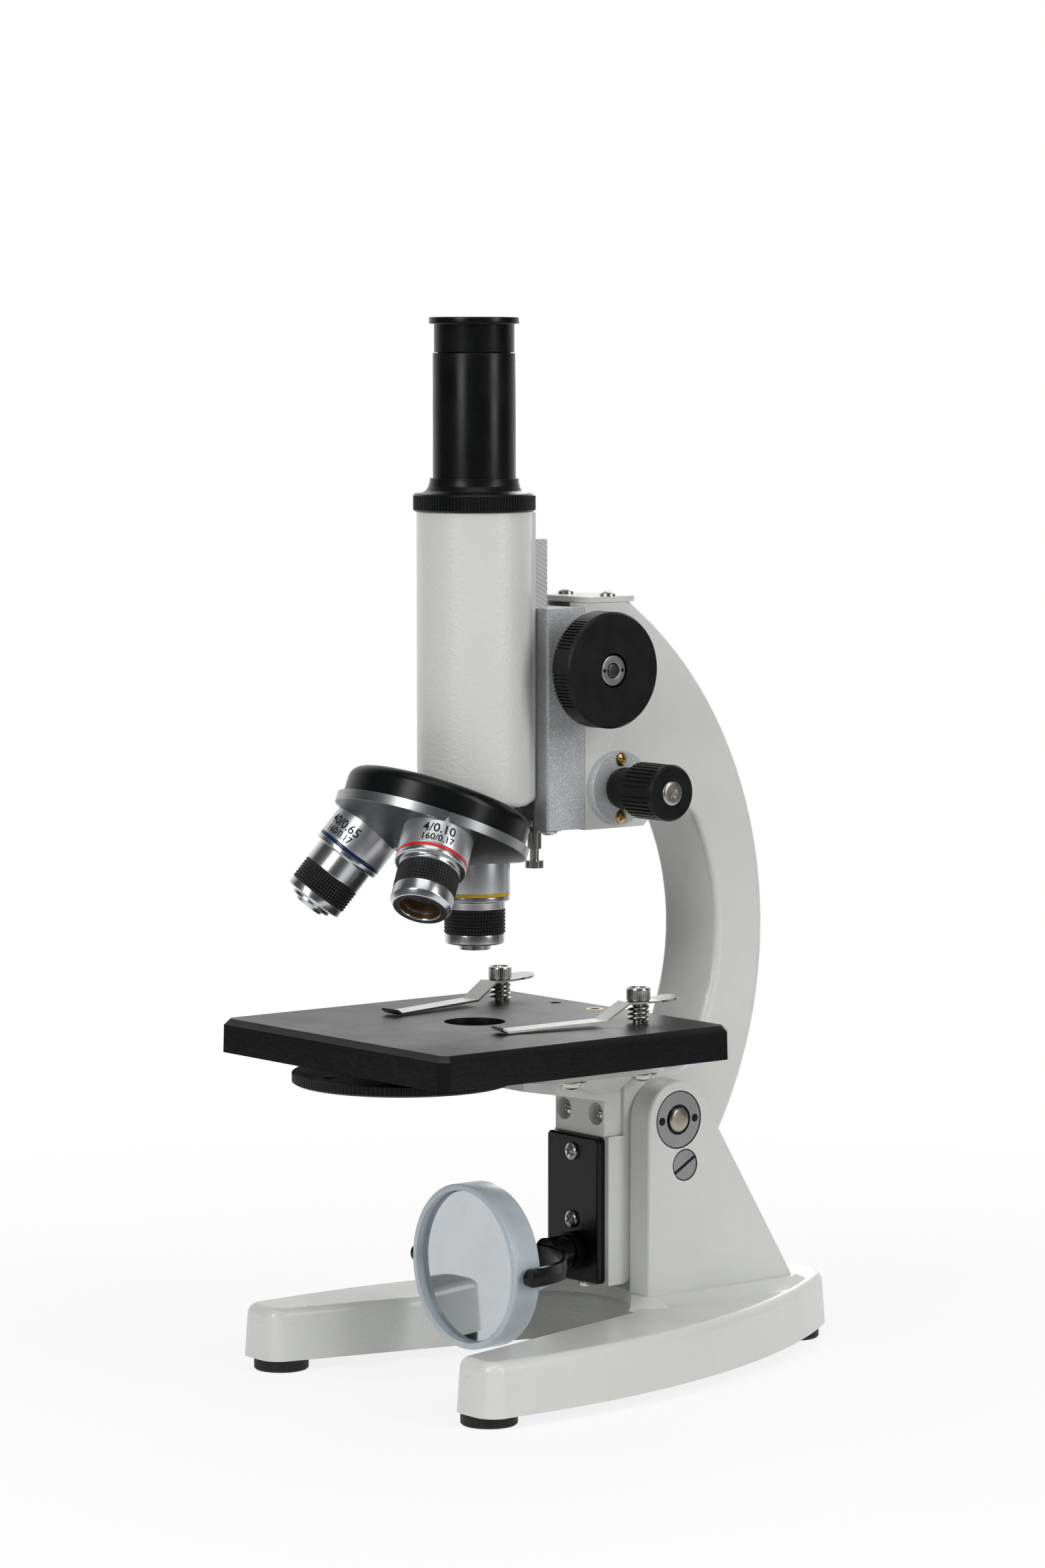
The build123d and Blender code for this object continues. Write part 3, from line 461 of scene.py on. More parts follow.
clearSpecs = {
    "milkyPlastic": dict(cloud=(50, 3, 0.5), colours=((0.66, 0.72, 0.77), (0.60, 0.66, 0.71)),
                         rough=(0.22, 0.3), fine=(900, 2, 0.5), bump=(0.08, 0.0002),
                         sockets={"Transmission Weight": 0.22, "Subsurface Weight": 0.3,
                                  "Subsurface Radius": (0.004, 0.005, 0.006),
                                  "Subsurface Scale": 1.0, "IOR": 1.45}),
    "mirrorGlass": dict(cloud=(70, 4, 0.6), colours=((0.55, 0.57, 0.59), (0.51, 0.53, 0.55)),
                        rough=(0.02, 0.05), sockets={"Metallic": 1.0}),
    "lensGlass": dict(cloud=(120, 2, 0.5), colours=((0.62, 0.62, 0.72), (0.55, 0.56, 0.68)),
                      rough=(0.02, 0.05), sockets={"Transmission Weight": 0.85, "IOR": 1.5}),
}


def clearFinish(name, spec):
    # pale plastic, silvered glass or coated glass, each with a faint uneven haze
    material, tree, shader, coord = newMaterial(name)
    cloud = noiseOf(tree, coord, *spec["cloud"])
    feed(tree, shader, {
        "Base Color": mixColour(tree, rangeOf(tree, cloud, 0, 1), *spec["colours"]),
        "Roughness": rangeOf(tree, cloud, *spec["rough"]),
        **spec["sockets"]})
    if "bump" in spec:
        fine = noiseOf(tree, coord, *spec["fine"])
        feed(tree, shader, {"Normal": bumpFrom(tree, fine, *spec["bump"])})
    return material


objectiveTurns = {"4x": 120, "10x": 0, "40x": -120}
finishes.update(turretAluminium=turretFinish(), stageBlack=stageFinish(),
                milledSteel=milledFinish())
finishes.update({name: clearFinish(name, spec) for name, spec in clearSpecs.items()})
finishes.update({name: turnedFinish(name, spec) for name, spec in turnedSpecs.items()})
for power, turn in objectiveTurns.items():
    finishes["chrome" + power] = barrelFinish("chrome" + power, objectiveFrame(turn))
nodeFinish = {
    "creamPaint": ["base_casting", "arm_casting", "head_cover", "stage_bracket", "body_tube"],
    "blackSatin": ["tube_collar", "drawtube", "eyepiece_shell", "nosepiece_mount",
                   "diaphragm_disc"],
    "stageBlack": ["stage_plate"],
    "blackKnob": ["coarse_knobs", "fine_knobs"],
    "blackGloss": ["mirror_plate", "mirror_fork"],
    "hammerSilver": ["focus_block", "fine_flanges"],
    "turretAluminium": ["turret"],
    "chrome4x": ["barrel_4x"], "chrome10x": ["barrel_10x"], "chrome40x": ["barrel_40x"],
    "gripBlack": ["objective_grips"],
    "ringRed": ["band_4x"], "ringYellow": ["band_10x"], "ringBlue": ["band_40x"],
    "hingeSteel": ["hinge_nuts"], "knobSteel": ["coarse_nuts"], "limitSteel": ["limit_screws"],
    "brightSteel": ["hinge_pin", "cover_screws", "fine_flange_screws", "bracket_screws",
                    "stage_screws", "clip_screws", "clip_right", "clip_left", "clip_springs",
                    "diaphragm_pivot", "mirror_plate_screws", "tail_screw", "stop_tab",
                    "stop_tab_screw", "stop_lock_nut", "stop_screw", "coarse_pinion", "fine_shaft",
                    "fine_knob_screws", "turret_screw", "detent_spring"],
    "milledSteel": ["dovetail_slide", "focus_rack"],
    "brass": ["stage_insert"],
    "footRubber": ["rubber_feet"],
    "milkyPlastic": ["mirror_frame"],
    "mirrorGlass": ["mirror_plane", "mirror_concave"],
    "lensGlass": ["objective_lenses", "eye_lens", "field_lens"],
}
for finish, names in nodeFinish.items():
    for name in names:
        nodes[name].data.materials.clear()
        nodes[name].data.materials.append(finishes[finish])
print("CAD nodes finished:", sum(map(len, nodeFinish.values())))

# upper tube
upright = uprightAt(0, 0)
collarKnurl = dict(ribs=110, power=0.7, depth=0.32, low=285.2, high=289.7, outside=19)


def collarShape(angle, height, radius):
    # straight knurl on the rim between two heights
    rim = (height > collarKnurl["low"]) & (height < collarKnurl["high"])
    groove = serration(angle, collarKnurl["ribs"], collarKnurl["power"])
    return -collarKnurl["depth"] * groove * (rim & (radius > collarKnurl["outside"]))


collarProfile = softProfile([
    (13.45, 276), (14.55, 276), (14.55, 284.5), (19.3, 284.5), (19.85, 285.15), (19.85, 285.25),
    (19.85, 289.65), (19.85, 289.75), (19.3, 290.4), (17.2, 290.5), (15.7, 291.3), (14.8, 292.8),
    (14.4, 294.4), (14.4, 295.3), (13.45, 295.3)], radius=0.25)
drawProfile = softProfile([
    (11.75, 262), (13.4, 262), (13.4, 335.6), (11.75, 335.6), (11.75, 262)], radius=0.35)
eyeProfile = softProfile([
    (10, 306), (11.65, 306), (11.65, 335.75), (13.0, 335.75), (13.0, 344.9), (14.6, 344.9),
    (14.6, 347.05), (9.2, 347.05), (6.0, 345.2), (6.0, 344), (8.0, 344), (8.0, 336), (10, 334),
    (10, 306)], radius=0.35)
collar = latheGrid(collarProfile, upright, turns=880, shape=collarShape)
gridPiece("collarRing", [collar], "tube", "black_metal", "blackSatin", ["tube_collar"], sharp=50)
gridPiece("drawTubeSkin", [latheGrid(drawProfile, upright, turns=192)], "tube", "black_metal",
          "blackSatin", ["drawtube"])
gridPiece("eyepieceSkin", [latheGrid(eyeProfile, upright, turns=192)], "eyepiece", "black_metal",
          "blackSatin", ["eyepiece_shell"])
print("upper tube made")

# nosepiece and objectives
objectives = {
    "4x": dict(neck=13.4, grip=21.2, text=("4/0.10", "160/0.17"), facing=0, ring="ringRed",
               slot="ring_red", front=[(9.9, 21.25), (9.9, 25.2), (8.7, 26.9), (6.7, 26.9),
                                       (6.1, 24.5), (6.0, 16)]),
    "10x": dict(neck=14.3, grip=22.3, text=("10/0.25", "160/0.17"), facing=150, ring="ringYellow",
                slot="ring_yellow", front=[(9.7, 22.35), (9.7, 25.3), (9.1, 25.7), (5.5, 25.7),
                                           (5.2, 27.6), (3.4, 27.6), (3.2, 22)]),
    "40x": dict(neck=18.8, grip=26.3, text=("40/0.65", "160/0.17"), facing=36, ring="ringBlue",
                slot="ring_blue", front=[(9.8, 26.35), (9.8, 28.7), (8.6, 29.2), (7.0, 29.3),
                                         (7.0, 30.4), (5.3, 30.5), (4.6, 31.6), (2.8, 31.6),
                                         (2.6, 26.5)]),
}
barrelSpec = dict(neck=9.95, edge=9.6, drop=0.2, core=9.0, bend=0.22, turns=160)
barrelTop = [(5, -3.15), (11.5, -3.15), (11.5, 8.65), (11.25, 8.75), (11.25, 9.8), (11.5, 9.9),
             (11.5, 11.35), (11.1, 11.6), (9.95, 11.7)]
ringProfile = softProfile([
    (11.1, 8.72), (11.42, 8.72), (11.5, 8.9), (11.5, 9.65), (11.42, 9.83), (11.1, 9.83),
    (11.1, 8.72)], radius=0.1)
boreProfile = [(6.62, 26.5), (5.95, 21.2), (5.75, 21.2), (6.4, 26.5), (6.62, 26.5)]
gripKnurl = dict(rows=7, round=60, depth=0.5, power=0.8, inner=9.05, outer=10.05, outside=9.8,
                 gap=(0.06, 0.02), steps=57, turns=540)
markSpec = dict(radius=11.53, bold=0.06, curve=3, edge=0.5, cuts=2,
                rows=((4.4, 3.2), (3.2, 6.6)))  # per row: letter size, place along the barrel


def textOnBarrel(words, place, size, along, facing):
    # letters laid flat, then wrapped: width becomes an angle, height runs along the barrel
    curve = bpy.data.curves.new("mark", "FONT")
    curve.body = words
    curve.size = size
    curve.offset = markSpec["bold"]
    curve.align_x = "CENTER"
    curve.align_y = "CENTER"
    curve.resolution_u = markSpec["curve"]
    flat = linked("mark", curve)
    mesh = evaluatedMesh(flat)
    bpy.data.objects.remove(flat)
    work = bmesh.new()
    work.from_mesh(mesh)
    bmesh.ops.triangulate(work, faces=work.faces)
    longEdges = [e for e in work.edges if e.calc_length() > markSpec["edge"]]
    bmesh.ops.subdivide_edges(work, edges=longEdges, cuts=markSpec["cuts"])
    bmesh.ops.triangulate(work, faces=work.faces)
    work.to_mesh(mesh)
    work.free()
    points, faces = meshArrays(mesh)
    origin, e1, e2, e3 = place
    radius = markSpec["radius"]
    angle = math.radians(facing) - points[:, :1] / radius
    ring = np.cos(angle) * e1 + np.sin(angle) * e2
    return origin + radius * ring + (along - points[:, 1:2]) * e3, faces


def gripGrid(place, low, high):
    # small pyramids: rows along the barrel times columns round it
    spec = gripKnurl

    def shape(angle, along, radius):
        across = np.abs(np.sin(0.5 * spec["round"] * angle))
        rows = np.abs(np.sin(np.pi * spec["rows"] * (along - low) / (high - low)))
        groove = 1 - np.minimum(across, rows) ** spec["power"]
        return -spec["depth"] * groove * (radius > spec["outside"])

    heights = np.linspace(low + spec["gap"][0], high - spec["gap"][1], spec["steps"])
    wall = np.c_[np.full(len(heights), spec["outer"]), heights]
    profile = np.vstack([[(spec["inner"], heights[0])], wall, [(spec["inner"], heights[-1])]])
    return latheGrid(profile, place, spec["turns"], shape)


gripGrids = []
for name, spec in objectives.items():
    place = objectiveFrame(objectiveTurns[name])
    neck, grip = spec["neck"], spec["grip"]
    waist = [(barrelSpec["neck"], neck - barrelSpec["drop"]), (barrelSpec["edge"], neck),
             (barrelSpec["core"], neck), (barrelSpec["core"], grip)]
    outline = softProfile(barrelTop + waist + spec["front"], barrelSpec["bend"])
    barrel = latheGrid(outline, place, barrelSpec["turns"])
    gridPiece("barrel" + name, [barrel], "nosepiece", "objective_chrome", "chrome" + name,
              ["barrel_" + name])
    gridPiece("ring" + name, [latheGrid(ringProfile, place)], "nosepiece", spec["slot"],
              spec["ring"], ["band_" + name])
    gripGrids.append(gripGrid(place, neck, grip))
    upper, lower = (textOnBarrel(words, place, *row, spec["facing"])
                    for words, row in zip(spec["text"], markSpec["rows"]))
    verts = np.vstack([upper[0], lower[0]])
    faces = np.vstack([upper[1], lower[1] + len(upper[0])])
    meshPiece("numbers" + name, verts, faces, "nosepiece", "objective_chrome", "engraving")
gridPiece("objectiveGrips", gripGrids, "nosepiece", "grip_black", "gripBlack",
          ["objective_grips"], sharp=25)
gridPiece("bore4x", [latheGrid(boreProfile, objectiveFrame(objectiveTurns["4x"]))], "nosepiece",
          "brass", "goldBore")
print("objectives made")

# screws
headSpec = dict(rings=44, turns=96, height=0.62, start=0.97, sink=0.2, wall=0.42, half=0.14,
                side=0.05, end=0.1, depth=0.55, upHint=(0.2, 0.3, 0.93), sharp=30)


def crossHead(at, direction, radius, turn, height=None, crown=2.6, reach=0.62):
    # side wall, then a crown falling with a power of the radius, less a cross-shaped recess
    spec = headSpec
    height = height or spec["height"] * radius
    hint = spec["upHint"] if abs(direction[2]) < 0.5 else (1, 0, 0)
    origin, e1, e2, e3 = axisFrame(at, direction, hint)
    share = np.concatenate([[1, 1], np.linspace(spec["start"], 0.0, spec["rings"])])[:, None]
    angle = np.linspace(0, 2 * np.pi, spec["turns"], endpoint=False)[None, :]
    h = height * (0.5 + 0.5 * (1 - share ** crown)) + 0 * angle
    h[0] = -spec["sink"]
    h[1] = spec["wall"] * height
    a = angle + math.radians(turn)
    x, y = np.abs(share * np.cos(a)), np.abs(share * np.sin(a))

    def slot(across, along):
        inSide = np.clip((spec["half"] - across) / spec["side"], 0, 1)
        return inSide * np.clip((reach - along) / spec["end"], 0, 1)

    h = h - spec["depth"] * height * np.maximum(slot(x, y), slot(y, x)) * (1 - 0.5 * share)
    ring = np.cos(angle)[..., None] * e1 + np.sin(angle)[..., None] * e2
    return origin + (radius * share)[..., None] * ring + h[..., None] * e3


screwSets = {
    "coverScrews": dict(node="cover_screws", body="arm", radius=2.6,
                        at=[((x, 47.2, 256.1), (0, 0, 1)) for x in (-10.8, 10.8)]),
    "flangeScrews": dict(node="fine_flange_screws", body="arm", radius=2.3, finish="brass",
                         at=[((s * 16.0, fineAt[0], fineAt[1] + dz), (s, 0, 0))
                             for s in sides for dz in (-9.4, 9.4)]),
    "bracketScrews": dict(node="bracket_screws", body="arm", radius=2.9,
                          at=[((x, 47.6, 84.7), (0, -1, 0)) for x in (-8.3, 8.3)]),
    "plateScrews": dict(node="mirror_plate_screws", body="arm", radius=2.9,
                        at=[((-1, 42.2, z), (0, -1, 0)) for z in (48.5, 71.3)]),
    "tailScrew": dict(node="tail_screw", body="arm", radius=2.9,
                      at=[((0, 47.5, 27.0), (0, 0, -1))]),
    "tabScrew": dict(node="stop_tab_screw", body="focus", radius=2.9,
                     at=[((0, 31, 179.2), (0, 0, -1))]),
    "knobScrews": dict(node="fine_knob_screws", body="fine", radius=4.0, finish="screwNickel",
                       form=dict(height=0.95, crown=9.0, reach=0.44),
                       at=[((s * 42.0, *fineAt), (s, 0, 0)) for s in sides]),
}
turnStart, turnStep = 15, 37  # degrees, so that no two crosses stand alike
for i, (name, spec) in enumerate(screwSets.items()):
    turns = [turnStart + turnStep * (i + 2 * j) for j in range(len(spec["at"]))]
    heads = [crossHead(*at, spec["radius"], turn, **spec.get("form", {}))
             for at, turn in zip(spec["at"], turns)]
    gridPiece(name, heads, spec["body"], "steel", spec.get("finish", "brightSteel"),
              [spec["node"]], sharp=headSpec["sharp"])

stageScrew = dict(at=[(-20, 24), (20, 24), (-20, 54.5), (20, 54.5)], low=98.2, radius=3.2,
                  height=2.2, turn=25)
washer = softProfile([(1.5, 99.1), (5.3, 99.1), (5.3, 98.2), (3.0, 98.2), (1.5, 98.2)],
                     radius=0.25)
heads = [crossHead((x, y, stageScrew["low"]), (0, 0, -1), stageScrew["radius"],
                   stageScrew["turn"] * i, stageScrew["height"])
         for i, (x, y) in enumerate(stageScrew["at"])]
washers = [latheGrid(washer, uprightAt(x, y), turns=96) for x, y in stageScrew["at"]]
gridPiece("stageScrews", heads + washers, "arm", "steel", "brightSteel", ["stage_screws"],
          sharp=headSpec["sharp"])

clipAt = (36.0, 39.4)
capSpec = dict(ribs=40, depth=0.07, knurl=(126.2, 129.4, 3.8), socket=(2.7, 2.82), flat=0.9,
               corner=1.03, turns=240)
capProfile = [(1.9, 118.0), (1.9, 125.7), (3.5, 125.75), (3.9, 126.1), (3.9, 126.4), (3.9, 129.2),
              (3.9, 129.5), (3.75, 129.9), (3.4, 130.1), (3.05, 130.1), (2.85, 129.9), (2.8, 129.6),
              (2.75, 127.4), (0.0, 127.2)]


def capShape(angle, height, radius):
    # straight knurl on the head's side and a six-sided socket sunk into its top
    low, high, outside = capSpec["knurl"]
    knurled = (height > low) & (height < high) & (radius > outside)
    hexagon = capSpec["flat"] / np.cos((angle + np.pi / 6) % (np.pi / 3) - np.pi / 6)
    socket = (radius > capSpec["socket"][0]) & (radius < capSpec["socket"][1])
    return (radius * (np.minimum(hexagon, capSpec["corner"]) - 1) * socket
            - capSpec["depth"] * serration(angle, capSpec["ribs"]) * knurled)


caps = [latheGrid(capProfile, uprightAt(side * clipAt[0], clipAt[1]), capSpec["turns"], capShape)
        for side in sides]
gridPiece("clipCapScrews", caps, "arm", "steel", "brightSteel", ["clip_screws"], sharp=35)
print("screws made")

# clip springs
springSpec = dict(radius=3.1, wire=0.5, pitch=1.5, turns=3.5, low=119.0, steps=260, around=18)


def springTube(side):
    # wire circle carried along a helix
    spec = springSpec
    t = np.linspace(0, spec["turns"], spec["steps"])[:, None]
    a = 2 * np.pi * t
    out = np.concatenate([np.cos(a), np.sin(a), 0 * a], 1)
    up = np.array([0, 0, 1.0])
    centre = (spec["radius"] * out + (spec["low"] + spec["pitch"] * t) * up)[:, None, :]
    phi = np.linspace(0, 2 * np.pi, spec["around"], endpoint=False)[None, :, None]
    tube = centre + spec["wire"] * (np.cos(phi) * out[:, None, :] + np.sin(phi) * up)
    start, end = (np.repeat(c, spec["around"], 1) for c in (centre[:1], centre[-1:]))
    return np.concatenate([start, tube, end]) + (side * clipAt[0], clipAt[1], 0)


gridPiece("clipSprings", [springTube(1), springTube(-1)], "arm", "steel", "brightSteel",
          ["clip_springs"])
print("springs made")

# base: the casting's own skin, with the saddle's rear corners trimmed along the base's bow
saddleSpec = dict(bow=((67.6, -36), (58.8, 52.5), (18.2, 137.9)), ends=(97.0, 136.0), edge=4.49,
                  bend=3.5, roundAt=18.0, low=20.25, meet=21.46, clear=0.03, slope=(5.6, 25.0),
                  out=-8.0, curve=12, steps=80, sharp=30)


def circleThrough(points):
    # centre and radius of the circle through three points, from two equal-distance equations
    p = np.asarray(points, float)
    centre = np.linalg.solve(2 * (p[1:] - p[:1]), (p[1:] ** 2).sum(1) - (p[0] ** 2).sum())
    return centre, np.linalg.norm(p[0] - centre)


def trimBar(side):
    # bar outside the base's rounded top edge: a section (distance in, height) carried round the bow
    spec = saddleSpec
    centre, radius = circleThrough(spec["bow"])
    z = np.linspace(spec["low"], spec["meet"], spec["curve"])
    flat = spec["edge"] - spec["clear"]
    inner = flat - np.sqrt(spec["bend"] ** 2 - (z - spec["roundAt"]) ** 2)
    section = np.vstack([[(spec["out"], spec["low"])], np.c_[inner, z], [spec["slope"]],
                         [(spec["out"], spec["slope"][1])]])
    ends = np.arcsin((np.array(spec["ends"]) - centre[1]) / radius)
    angle = np.linspace(*ends, spec["steps"])[:, None]
    reach = radius - section[None, :, 0]
    bar = np.dstack([centre[0] + reach * np.cos(angle), centre[1] + reach * np.sin(angle),
                     np.repeat(section[None, :, 1], spec["steps"], 0)])
    first, last = (np.repeat(cap.mean(1, keepdims=True), len(section), 1)
                   for cap in (bar[:1], bar[-1:]))
    return np.concatenate([first, bar, last]) * (side, 1, 1)


def baseSkin():
    # a merged copy of the casting, less the two bars
    points, faces = meshArrays(nodes["base_casting"].data)
    piece = meshPiece("baseSkin", points / mm - (0, opticY, 0), faces, "base", "cream_paint",
                      "creamPaint", ["base_casting"])
    bars = linked("trimBars", mergedMesh("trimBars", *joinGrids([trimBar(1), trimBar(-1)])))
    trim = piece.modifiers.new("trim", "BOOLEAN")
    trim.operation = "DIFFERENCE"
    trim.solver = "EXACT"
    trim.object = bars
    before = len(piece.data.polygons)
    trimmed = evaluatedMesh(piece)
    piece.modifiers.clear()
    piece.data = trimmed
    bpy.data.objects.remove(bars)
    shadeSmooth(trimmed, saddleSpec["sharp"])
    even = piece.modifiers.new("evenNormals", "WEIGHTED_NORMAL")
    even.keep_sharp = True
    print("base trimmed, faces", before, "to", len(trimmed.polygons))


baseSkin()

# diaphragm rim
rimSpec = dict(ribs=150, power=0.8, depth=0.36, outside=35.3, at=(0, -29.5), turns=1200)
rimProfile = [(34.6, 101.38), (35.0, 101.38), (35.98, 101.95), (35.98, 102.0), (35.98, 104.6),
              (35.98, 104.65), (35.0, 105.22), (34.6, 105.22), (34.6, 101.38)]


def rimShape(angle, height, radius):
    # straight serration round the disc's edge
    groove = serration(angle, rimSpec["ribs"], rimSpec["power"])
    return -rimSpec["depth"] * groove * (radius > rimSpec["outside"])


rim = latheGrid(rimProfile, uprightAt(*rimSpec["at"]), rimSpec["turns"], rimShape)
gridPiece("diaphragmRim", [rim], "diaphragm", "black_metal", "blackKnob", sharp=50)
print("diaphragm rim made")

# hinge: domed pin ends, and painted shade: black rings in the gaps round pin, nuts and limit
# screws, black pegs in the pin holes and black strips on the slot floors
hingeSpec = dict(face=24.0, nut=9.42, limit=5.05, edge=(-0.1, 0.3), depth=(-0.3, 0.02),
                 well=(4.02, 5.0, 22.7, 23.2), holes=7.1, hole=(1.35, 23.4, 23.93))
slotSpec = dict(long=9.6, wide=1.06, turn=30, sunk=0.78, thick=0.25)
domeProfile = softProfile([
    (0, 24.05), (3.95, 24.05), (3.95, 24.3), (3.5, 24.7), (2.0, 24.9), (0, 24.95)],
    radius=0.25)


def slotPaintedShade(side):
    # painted shade on the limit screw's slot floor: thin black flat bar turned in the plane of the
    # cheek, closed as a tube with two end points
    a = math.radians(slotSpec["turn"])
    along = np.array([0, math.cos(a), math.sin(a)])
    wide = np.array([0, -math.sin(a), math.cos(a)])
    out = np.array([side, 0, 0.0])
    half = np.array([0, 1, 1, 0])[:, None, None] * slotSpec["wide"] / 2
    thick = slotSpec["thick"]
    corner = np.array([(-1, 0), (1, 0), (1, thick), (-1, thick)])[None, :, :]
    ends = np.array([-0.5, -0.5, 0.5, 0.5])[:, None, None] * slotSpec["long"]
    middle = np.array([side * (hingeSpec["face"] - slotSpec["sunk"]), *limitAt])
    return (middle + ends * along + half * corner[..., :1] * wide
            + (half > 0) * corner[..., 1:] * out)


def pinHolePaintedShade(side, at, reach, hole):
    # painted shade in the holes: two dark pegs, one in front of the axis and one behind it
    return [pegGrid(*hole, sideFrame(side, at[0] + pin * reach, at[1])) for pin in sides]


paintedShadeGrids, domeGrids = [], []
for side in sides:
    # black rings that stand for painted shade in the gaps round each nut and limit screw, and in
    # the recess round the pin
    for at, r in ((hingeAt, hingeSpec["nut"]), (limitAt, hingeSpec["limit"])):
        ring = [r + e for e in hingeSpec["edge"]]
        place = sideFrame(side, *at, side * hingeSpec["face"])
        paintedShadeGrids.append(bandGrid(*ring, *hingeSpec["depth"], place))
    place = sideFrame(side, *hingeAt)
    paintedShadeGrids.append(bandGrid(*hingeSpec["well"], place))
    paintedShadeGrids.append(slotPaintedShade(side))
    paintedShadeGrids += pinHolePaintedShade(side, hingeAt, hingeSpec["holes"], hingeSpec["hole"])
    domeGrids.append(latheGrid(domeProfile, place))
gridPiece("hingePaintedShade", paintedShadeGrids, "base", "black_metal", "blackSatin")
gridPiece("hingePinEnds", domeGrids, "base", "steel", "pinNickel")
print("hinge made")

# hubs of the coarse knobs: ring nut, painted shade as black pegs in the pin holes and a black ring
# in the gap, shaft end
hubSpec = dict(holes=3.72, hole=(0.62, 33.5, 33.8), gap=(2.0, 2.5, 33.4, 33.66), turns=96)
nutProfile = softProfile([
    (2.45, 30.9), (5.0, 30.9), (5.0, 33.5), (4.75, 33.78), (2.6, 33.78), (2.45, 33.6),
    (2.45, 30.9)], radius=0.12)
shaftProfile = softProfile([
    (0, 33.5), (2.1, 33.5), (2.1, 33.7), (1.85, 33.8), (0, 33.84)], radius=0.1)
nutGrids, hubShadeGrids, endGrids = [], [], []
for side in sides:
    place = sideFrame(side, *hubAt)
    nutGrids.append(latheGrid(nutProfile, place, hubSpec["turns"]))
    endGrids.append(latheGrid(shaftProfile, place, hubSpec["turns"]))
    hubShadeGrids.append(bandGrid(*hubSpec["gap"], place))
    hubShadeGrids += pinHolePaintedShade(side, hubAt, hubSpec["holes"], hubSpec["hole"])
gridPiece("hubNuts", nutGrids, "coarse", "steel", "knobSteel", ["coarse_nuts"])
# black ring and pegs that stand for painted shade in the hub's gap and pin holes
gridPiece("hubPaintedShade", hubShadeGrids, "coarse", "black_metal", "blackSatin")
gridPiece("hubShaftEnds", endGrids, "coarse", "steel", "shaftSteel")
print("knob hubs made")

# mirror
faceOn = axisFrame((0, 0, 38.0), (0, 1, 0))
frameProfile = softProfile([
    (25.05, -4.9), (27.2, -4.9), (27.2, 5.6), (25.05, 5.6), (25.05, 0.6), (24, 0.6), (24, 0.2),
    (25.05, 0.2), (25.05, -4.9)], radius=0.7, steps=6)
gridPiece("mirrorRing", [latheGrid(frameProfile, faceOn, turns=192)], "mirror", "milky_plastic",
          "milkyPlastic", ["mirror_frame"])
print("mirror made")

# floor, light and camera
floorSpec = dict(half=0.6, front=0.55, back=3.0, rise=2.5, bend=1.2, steps=24, columns=9,
                 near=0.84, fade=(0.12, 0.5), colour=(0.86, 0.86, 0.86, 1))
studio = dict(fill=0.3, room=0.04, turn=(0.3, 0.8), target=(0, 0, 0.18), boxes=dict(
    leftBox=dict(at=(0.4, -1.5, 0.9), size=(0.5, 1.2), watts=12.5),
    rightBox=dict(at=(1.5, 0.5, 0.8), size=(0.5, 1.2), watts=10.5),
    backBox=dict(at=(-1.1, 1.3, 0.9), size=(0.5, 1.2), watts=7),
    topBox=dict(at=(0.3, -0.2, 1.6), size=(1.0, 1.0), watts=5)))
lensSpec = dict(focal=7422, rows=2352, sensor=(24.0, 36.0))  # focal length and height in pixels
towardsCamera = unit((cameraAt - lookAt) * (1, 1, 0))


def seenRay(tree, weight):
    # weight for rays that show the backdrop: straight from the camera, mirrored or through glass
    path = addNode(tree, "LightPath").outputs
    total = path["Is Camera Ray"]
    for name in ("Is Glossy Ray", "Is Transmission Ray"):
        total = addNode(tree, "Math", {0: total, 1: path[name]}, operation="MAXIMUM").outputs[0]
    return addNode(tree, "Math", {0: total, 1: weight}, operation="MULTIPLY").outputs[0]


def backdropFinish():
    # shadowed white near the object, plain white further out
    material, tree, out, coord = blankMaterial("backdropWhite")
    diffuse = addNode(tree, "BsdfDiffuse", {"Color": floorSpec["colour"]})
    glow = addNode(tree, "Emission", {"Strength": 1.0})
    reach = addNode(tree, "VectorMath", {0: coord}, operation="LENGTH").outputs["Value"]
    weight = rangeOf(tree, reach, floorSpec["near"], 1.0, *floorSpec["fade"])
    mix = addNode(tree, "MixShader", {0: seenRay(tree, weight), 1: diffuse.outputs[0],
                                      2: glow.outputs[0]})
    feed(tree, out, {"Surface": mix.outputs[0]})
    return material


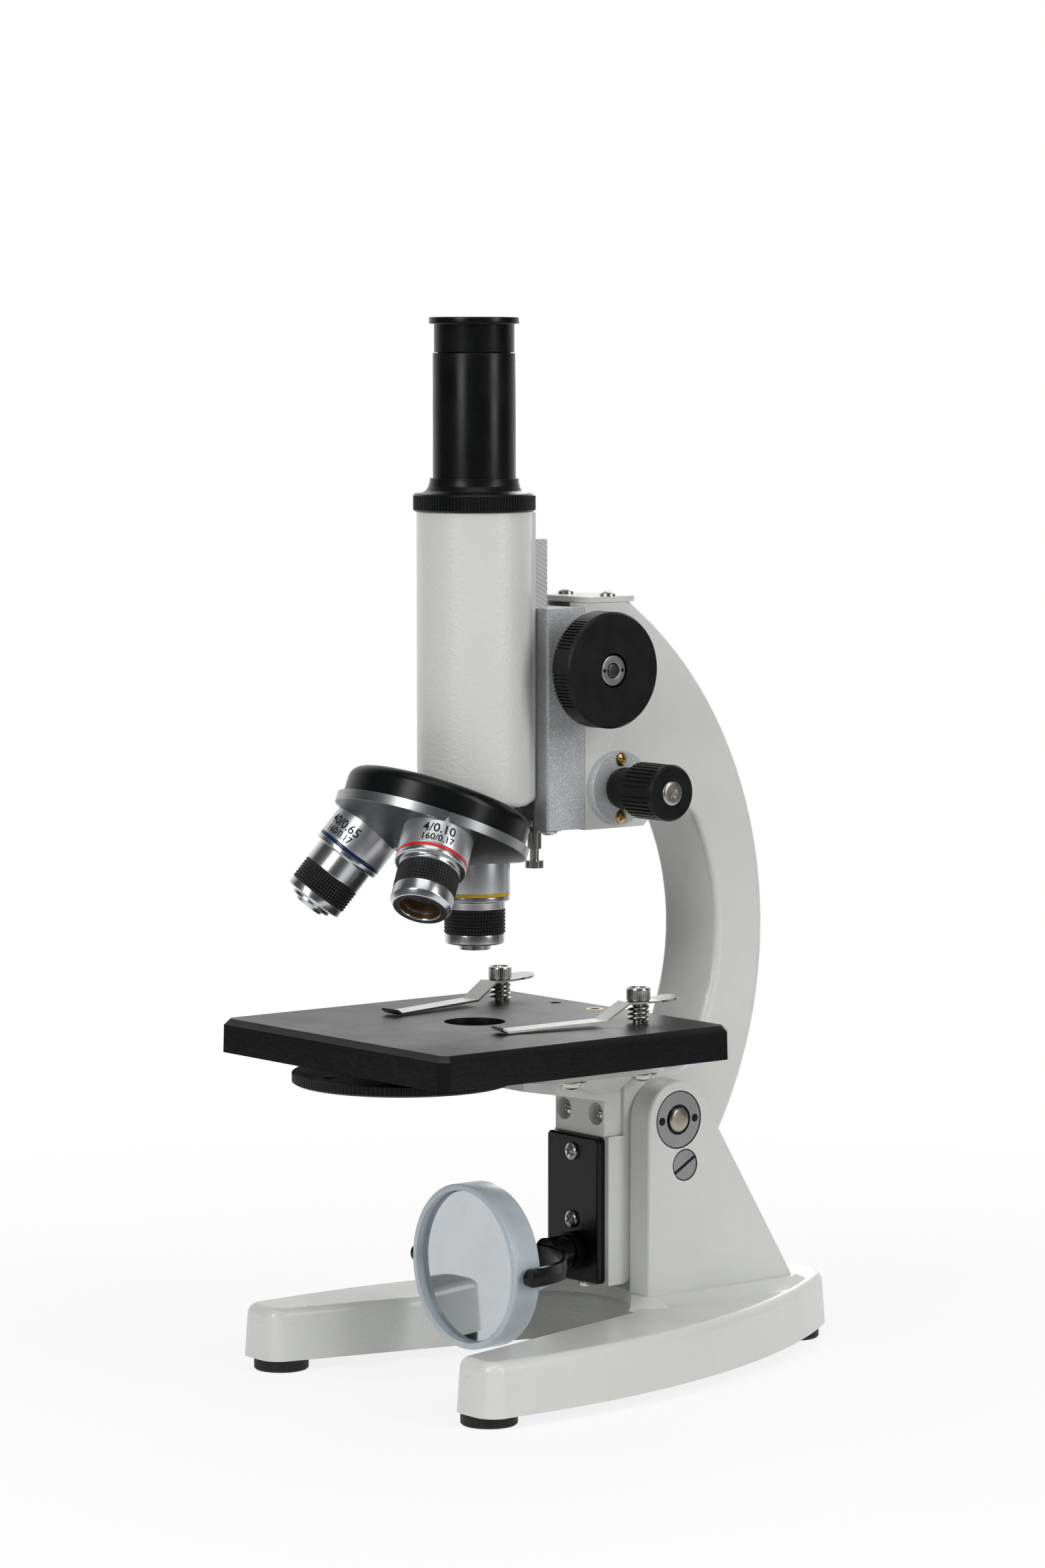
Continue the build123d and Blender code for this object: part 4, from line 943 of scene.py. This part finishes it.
def backdrop():
    # flat floor that bends up behind the object, as the camera sees it, along a quarter circle
    spec = floorSpec
    side = np.array([-towardsCamera[1], towardsCamera[0], 0])
    t = np.linspace(0, math.pi / 2, spec["steps"])
    away = np.concatenate([[spec["front"], 0.0], -spec["back"] - spec["bend"] * np.sin(t),
                           [-spec["back"] - spec["bend"]]])
    height = np.concatenate([[0.0, 0.0], spec["bend"] * (1 - np.cos(t)),
                             [spec["bend"] + spec["rise"]]])
    across = np.linspace(-spec["half"], spec["half"], spec["columns"])
    grid = (away[:, None, None] * towardsCamera - across[None, :, None] * side
            + height[:, None, None] * np.array([0, 0, 1.0]))
    faces = gridFaces(len(away), spec["columns"], False)
    mesh = bpy.data.meshes.new("backdrop")
    mesh.from_pydata(grid.reshape(-1, 3).tolist(), [], faces.tolist())
    mesh.polygons.foreach_set("use_smooth", np.ones(len(mesh.polygons), bool))
    mesh.materials.append(backdropFinish())
    linked("backdrop", mesh)


def aim(thing, target):
    way = Vector(target) - thing.location
    thing.rotation_euler = way.to_track_quat("-Z", "Y").to_euler()


def studioWorld():
    # white to the camera; mirrored rays see white behind the object and a dim room in front of it
    world = bpy.data.worlds.new("studio")
    bpy.context.scene.world = world
    world.use_nodes = True
    tree = world.node_tree
    direction = addNode(tree, "TexCoord").outputs["Generated"]
    facing = alongAxis(tree, direction, -towardsCamera)
    room = rangeOf(tree, facing, studio["room"], 1.0, *studio["turn"])
    mirrored = mixValue(tree, seenRay(tree, 1.0), studio["fill"], room)
    camera = addNode(tree, "LightPath").outputs["Is Camera Ray"]
    feed(tree, tree.nodes["Background"], {"Color": (1, 1, 1, 1),
                                          "Strength": mixValue(tree, camera, mirrored, 1.0)})


backdrop()
studioWorld()
for name, spec in studio["boxes"].items():
    light = bpy.data.lights.new(name, "AREA")
    light.shape = "RECTANGLE"
    light.size, light.size_y = spec["size"]
    light.energy = spec["watts"]
    lamp = linked(name, light)
    lamp.location = spec["at"]
    aim(lamp, studio["target"])

eye = bpy.data.cameras.new("photoCamera")
eye.sensor_fit = "VERTICAL"
eye.sensor_width, eye.sensor_height = lensSpec["sensor"]
eye.lens = lensSpec["focal"] / lensSpec["rows"] * lensSpec["sensor"][1]
camera = linked("photoCamera", eye)
camera.location = toFrame(cameraAt)
aim(camera, toFrame(lookAt))
bpy.context.scene.camera = camera
bpy.context.scene.view_settings.view_transform = "Standard"
print("camera and light set")
